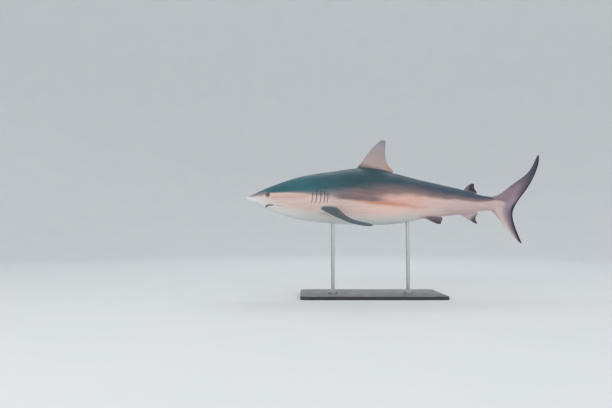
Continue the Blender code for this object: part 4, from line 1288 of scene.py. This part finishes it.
# %% Pale side
hide = Recipe("shark_hide", roughness=0.5, specular=0.35)
where = hide.rest_place()
along = hide.axis(where, "X")
mottle = hide.noise(where, 22.0, detail=4.0, stretch=(0.6, 1, 1))
cloud = hide.noise(where, 7.0, detail=3.0, stretch=(0.55, 1, 1))
grain = hide.noise(where, 75.0, detail=3.0, stretch=(0.14, 1, 1))
speck = hide.noise(where, 260.0, detail=2.0)

# painted light: the cream is painted lighter round the middle of the flank, lightest about 0.8 m
# back, as if light fell brightest there
cream_and_painted_light = hide.mix(hide.ramp(along, 0.50, 0.82), tone(212, 191, 183), tone(240, 211, 201))
cream_and_painted_light = hide.mix(hide.ramp(along, 0.84, 1.26), cream_and_painted_light, tone(209, 185, 181))
# the belly is white, with a faint cool tint that is painted bounce light
colour = hide.cover(cream_and_painted_light, "belly", tone(230, 234, 231))
colour = hide.cover(colour, "cheek", tone(204, 152, 140), 0.55)
# painted highlight on the gill flaps
colour = hide.cover(colour, "painted_flap_highlight", tone(232, 212, 204), 0.5)
colour = hide.cover(colour, "rosy", tone(214, 163, 145), 0.7)
colour = hide.cover(colour, "bronze", tone(208, 142, 110))
print("pale side painted")

# %% Dark back
dark = hide.mix(hide.ramp(along, 0.30, 0.65), tone(45, 100, 109), tone(49, 79, 87))
dark = hide.mix(hide.ramp(along, 0.80, 1.15), dark, tone(64, 81, 99))
half_dark = hide.mix(hide.ramp(along, 0.42, 0.62), tone(96, 114, 118), tone(116, 104, 108))
quarter_dark = hide.mix(hide.ramp(along, 0.42, 0.62), tone(150, 142, 141), tone(144, 118, 116))
uneven = hide.times(hide.reckon("SUBTRACT", mottle, 0.5), 0.18)
cloudiness = hide.ramp(along, 0.2, 0.6, 0.05, 0.34)
clouded = hide.times(hide.reckon("SUBTRACT", cloud, 0.5), cloudiness)
uneven = hide.reckon("ADD", uneven, clouded)
uneven = hide.times(uneven, hide.ramp(hide.mask("back"), 0.0, 0.12))
back_share = hide.reckon("ADD", hide.mask("back"), uneven)
colour = hide.mix(hide.ramp(back_share, 0.02, 0.38), colour, quarter_dark)
colour = hide.mix(hide.ramp(back_share, 0.28, 0.68), colour, half_dark)
colour = hide.mix(hide.ramp(back_share, 0.55, 1.0), colour, dark)
print("dark back painted")

# %% Fin colours
out_share, back_edge = hide.mask("fin_out"), hide.mask("fin_back")
fin_tan = hide.mix(hide.ramp(out_share, 0.1, 0.9), tone(178, 157, 152), tone(158, 150, 156))
rear_lobe = hide.times(hide.ramp(back_edge, 0.6, 1.0), hide.ramp(out_share, 0.35, 0.05))
fin_tan = hide.mix(rear_lobe, fin_tan, tone(188, 148, 132))
colour = hide.cover(colour, "tan", fin_tan)
slate = hide.mix(hide.ramp(out_share, 0.1, 0.7), tone(84, 96, 102), tone(72, 94, 104))
# painted highlight: the pectoral's rear part near its root is painted a lighter brown
slate = hide.mix(rear_lobe, slate, tone(124, 112, 110))
colour = hide.cover(colour, "slate", slate)
high_up = hide.ramp(hide.axis(where, "Z"), 0.03, 0.21)
violet = hide.mix(high_up, tone(144, 124, 134), tone(86, 83, 98))
colour = hide.cover(colour, "grey", violet)
colour = hide.cover(colour, "streak", tone(166, 152, 166), 0.5)
colour = hide.cover(colour, "dusk", tone(34, 42, 52))
print("fins painted")

# %% Fine marks
smear = hide.ramp(grain, 0.35, 0.65, 0.0, 0.22)
smear = hide.times(smear, hide.ramp(hide.mask("fin"), 0.1, 0.9, 1.0, 0.1))
colour = hide.mix(smear, colour, tone(96, 92, 92), "SOFT_LIGHT")
pores = hide.times(hide.ramp(hide.cells(where, 210.0), 0.20, 0.08), hide.mask("snout"))
colour = hide.mix(hide.times(pores, 0.4), colour, tone(110, 106, 106))
colour = hide.cover(colour, "lids", tone(158, 152, 150), 0.8)
specks = hide.ramp(speck, 0.35, 0.75, 0.0, 0.10)
colour = hide.mix(specks, colour, tone(120, 120, 122), "SOFT_LIGHT")
# painted shade inside slits, folds, nostrils, eye sockets and the vent
colour = hide.cover(colour, "painted_recess_shade", tone(44, 40, 44), 0.92)
print("skin colour:", len(hide.tree.nodes), "nodes")

# %% Relief
scales = hide.cells(where, 700.0)
rays = hide.reckon("SINE", hide.times(hide.mask("fin_back"), 260.0))
ray_height = hide.times(rays, hide.times(hide.mask("fin"), hide.mask("fin_out")))
relief = hide.bump(scales, 0.00025, 0.6)
relief = hide.bump(hide.times(pores, -1.0), 0.0005, 0.8, relief)
relief = hide.bump(mottle, 0.0012, 0.5, relief)
relief = hide.bump(ray_height, 0.00022, 0.6, relief)
hide.paint(colour, hide.ramp(mottle, 0.3, 0.7, 0.42, 0.56), relief)
skin_mesh.materials.clear()
skin_mesh.materials.append(hide.material)
print("skin finish:", len(hide.tree.nodes), "nodes")

# %% [markdown]
# ## Eyes
#
# The eye is a ball with a clear, slightly domed front. Behind it the iris is a grey-olive disc,
# paler towards its rim, round a tall dark pupil, and a dark ring closes it off from the socket.
# The ball is turned from rings round its line of sight; each point notes how far it is from the
# middle of the iris, and the finish paints by that.

# %% Eyeballs
IRIS, PUPIL_WIDE, PUPIL_TALL, DOME, DOME_WIDTH = 0.0108, 0.0036, 0.0070, 0.0011, 0.009
EYE_RINGS, EYE_SIDES, CROWDING = 64, 96, 1.6  # the rings crowd together towards the front
BEHIND = (0.0, 0.05)  # the note for points at the back of the ball, far outside the iris


def eyeball(name, centre, out):
    """A ball whose front bulges a little, with layers for iris and pupil."""
    up = np.array([0.0, 0.0, 1.0]) - out * out[2]
    up /= np.linalg.norm(up)
    side = np.cross(up, out)
    tilts = [pi * (k / EYE_RINGS) ** CROWDING for k in range(1, EYE_RINGS)]
    points, flat = [centre + out * (EYE_RADIUS + DOME)], [(0.0, 0.0)]
    for tilt in tilts:
        reach = EYE_RADIUS + DOME * float(wave(EYE_RADIUS * tilt, DOME_WIDTH))
        for j in range(EYE_SIDES):
            turn = 2 * pi * j / EYE_SIDES
            across, height = sin(tilt) * cos(turn), sin(tilt) * sin(turn)
            points.append(centre + reach * (cos(tilt) * out + across * side + height * up))
            in_front = tilt < pi / 2
            flat.append((EYE_RADIUS * across, EYE_RADIUS * height) if in_front else BEHIND)
    points.append(centre - out * EYE_RADIUS)
    flat.append(BEHIND)
    last = len(points) - 1
    faces = [tuple(v + 1 for v in f) for f in ring_faces(len(tilts), EYE_SIDES)]
    faces += [(0, 1 + (j + 1) % EYE_SIDES, 1 + j) for j in range(EYE_SIDES)]
    base = last - EYE_SIDES
    faces += [(last, base + j, base + (j + 1) % EYE_SIDES) for j in range(EYE_SIDES)]
    ball = mesh_object(name, pose(points), faces)
    flat = np.array(flat)
    radius = np.hypot(*flat.T)
    pupil = np.hypot(flat[:, 0] / PUPIL_WIDE, flat[:, 1] / PUPIL_TALL)
    for layer, values in (("from_middle", radius / IRIS), ("from_pupil", pupil)):
        ball.data.attributes.new(layer, "FLOAT", "POINT").data.foreach_set("value", values)
    ball.data.attributes.new("rest", "FLOAT_VECTOR", "POINT").data.foreach_set(
        "vector", np.column_stack([flat, radius * 0]).ravel()
    )
    bm = bmesh.new()
    bm.from_mesh(ball.data)
    bmesh.ops.recalc_face_normals(bm, faces=bm.faces)
    bm.to_mesh(ball.data)
    bm.free()
    return ball


eyes = {name: eyeball(f"eyeball_{name}", *place) for name, place in sight.items()}
print("eyes:", {name: len(ball.data.polygons) for name, ball in eyes.items()})

# %% Eye finish
wet = Recipe("wet_eye", roughness=0.12, specular=0.6)
wet.set(**{"Coat Weight": 1.0, "Coat Roughness": 0.02, "Coat IOR": 1.38})
spot = wet.rest_place()
streaks = wet.noise(spot, 900.0, detail=4.0)
iris = wet.mix(wet.ramp(wet.mask("from_middle"), 0.25, 0.95), tone(60, 64, 62), tone(98, 101, 94))
iris = wet.mix(wet.ramp(streaks, 0.35, 0.70, 0.0, 0.45), iris, tone(64, 68, 66))
iris = wet.mix(wet.ramp(wet.mask("from_middle"), 0.88, 1.04), iris, tone(22, 24, 28))
iris = wet.mix(wet.ramp(wet.mask("from_pupil"), 0.92, 1.10), tone(6, 8, 10), iris)
wet.paint(iris)
for ball in eyes.values():
    ball.data.materials.append(wet.material)
print("eye finish:", len(wet.tree.nodes), "nodes")

# %% [markdown]
# ## The display stand
#
# The stand is an addition: a black lacquered board with softened edges, and two brushed steel
# rods, each in a turned collar. Turned parts are made by spinning an outline round an upright
# axis. The board is a box whose corners and rim are bevelled.

# %% Board and turning
BOARD = (0.80, 0.42, 0.018)
BOARD_CORNER, BOARD_EDGE, TURNED_SIDES = 0.03, 0.003, 64


def turned(name, outline, x, y):
    """A closed piece spun round an upright axis at (x, y); outline is (radius, height) pairs."""
    turns = [2 * pi * j / TURNED_SIDES for j in range(TURNED_SIDES)]
    points = [(x + r * cos(a), y + r * sin(a), h) for r, h in outline for a in turns]
    faces = ring_faces(len(outline), TURNED_SIDES)
    n = len(points)
    faces += [tuple(reversed(range(TURNED_SIDES))), tuple(range(n - TURNED_SIDES, n))]
    piece = mesh_object(name, points, faces)
    piece.data.set_sharp_from_angle(angle=radians(35))
    return piece


def board_piece():
    """The board: a box with rounded upright corners and a softened upper rim."""
    length, width, height = BOARD
    bm = bmesh.new()
    bmesh.ops.create_cube(bm, size=1.0)
    for vert in bm.verts:
        vert.co = (vert.co.x * length, vert.co.y * width, (vert.co.z + 0.5) * height)
    corners = [e for e in bm.edges if abs(e.verts[0].co.z - e.verts[1].co.z) > height / 2]
    how = {"profile": 0.5, "affect": "EDGES"}
    bmesh.ops.bevel(bm, geom=corners, offset=BOARD_CORNER, segments=16, **how)
    rim = [e for e in bm.edges if min(v.co.z for v in e.verts) > height - 1e-5]
    bmesh.ops.bevel(bm, geom=rim, offset=BOARD_EDGE, segments=4, **how)
    mesh = bpy.data.meshes.new("stand_board")
    bm.to_mesh(mesh)
    bm.free()
    shade_smooth(mesh)
    mesh.set_sharp_from_angle(angle=radians(30))
    return add_object("stand_board", mesh)


board = board_piece()
print("board:", BOARD)

# %% Rods and collars
ROD_EDGE = 0.001
rods, collars = {}, {}
for name in ("front", "rear"):
    low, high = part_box(f"stand_rod_{name}")
    x, y, radius = (low[0] + high[0]) / 2, (low[1] + high[1]) / 2, (high[0] - low[0]) / 2
    inside, bottom, top = radius - ROD_EDGE, low[2], high[2]
    lower_end = ((inside, bottom), (radius, bottom + ROD_EDGE))
    upper_end = ((radius, top - ROD_EDGE), (inside, top))
    rods[name] = turned(f"rod_{name}", lower_end + upper_end, x, y)
    low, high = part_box(f"stand_collar_{name}")
    wide, bottom, top = (high[0] - low[0]) / 2, low[2], high[2]
    outline = (
        (wide, bottom), (wide, bottom + 0.0025), (wide - 0.0012, bottom + 0.0035),
        (wide - 0.0012, top - 0.0050), (wide - 0.004, top - 0.0012), (wide - 0.006, top),
        (radius + 0.0008, top),
    )  # fmt: skip
    collars[name] = turned(f"collar_{name}", outline, x, y)
print("stand pieces:", 1 + len(rods) + len(collars))

# %% [markdown]
# ## Stand finishes
#
# Lacquer is smooth with a faint orange-peel waviness and a trace of dust.
# Brushed steel has fine rings from turning, so its noise is squeezed along the height.

# %% Lacquer
lacquer = Recipe("black_lacquer", roughness=0.34, specular=0.5)
lacquer.set(**{"Coat Weight": 0.35, "Coat Roughness": 0.12})
at = lacquer.own_place()
cloud, dust = lacquer.noise(at, 14.0), lacquer.noise(at, 420.0, detail=5.0)
base = lacquer.mix(cloud, tone(34, 35, 37), tone(46, 47, 49))
base = lacquer.mix(lacquer.ramp(dust, 0.62, 0.75, 0.0, 0.35), base, tone(96, 97, 98))
waviness = lacquer.bump(lacquer.noise(at, 90.0), 0.0002, 0.35)
lacquer.paint(base, lacquer.ramp(cloud, 0.3, 0.7, 0.28, 0.42), waviness)
board.data.materials.append(lacquer.material)
print("lacquer:", len(lacquer.tree.nodes), "nodes")

# %% Brushed steel
steel = Recipe("brushed_steel", roughness=0.3, metallic=1.0)
at = steel.own_place()
brushing = steel.noise(at, 60.0, detail=4.0, stretch=(0.5, 0.5, 28.0))
metal = steel.mix(brushing, tone(176, 178, 180), tone(204, 205, 206))
steel.paint(metal, steel.ramp(brushing, 0.3, 0.7, 0.24, 0.38), steel.bump(brushing, 0.00008, 0.5))
for piece in (*rods.values(), *collars.values()):
    piece.data.materials.append(steel.material)
print("steel:", len(steel.tree.nodes), "nodes")

# %% [markdown]
# ## Fix every piece to the model
#
# Each piece rides on the model's only body, and the solids that it stands for are hidden. Last,
# the box of the dressed model is measured and printed.

# %% Ride, replace and measure
FLESH = [
    "head", "lower_jaw", "gill_section", "trunk", "loins", "tail_stalk", "caudal_fin_upper",
    "caudal_fin_lower", "dorsal_fin_first", "dorsal_fin_second", "anal_fin", "pectoral_fin_left",
    "pectoral_fin_right", "pelvic_fin_left", "pelvic_fin_right",
]  # fmt: skip
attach(skin, "root")
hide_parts(*FLESH)
for name, eye in eyes.items():
    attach(eye, "root")
    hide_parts(f"eye_{name}")
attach(board, "root")
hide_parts("stand_base")
for kind, made in (("rod", rods), ("collar", collars)):
    for name, piece in made.items():
        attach(piece, "root")
        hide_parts(f"stand_{kind}_{name}")

low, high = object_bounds()
print("visual box:", [round(v, 3) for v in (*low, *high)])
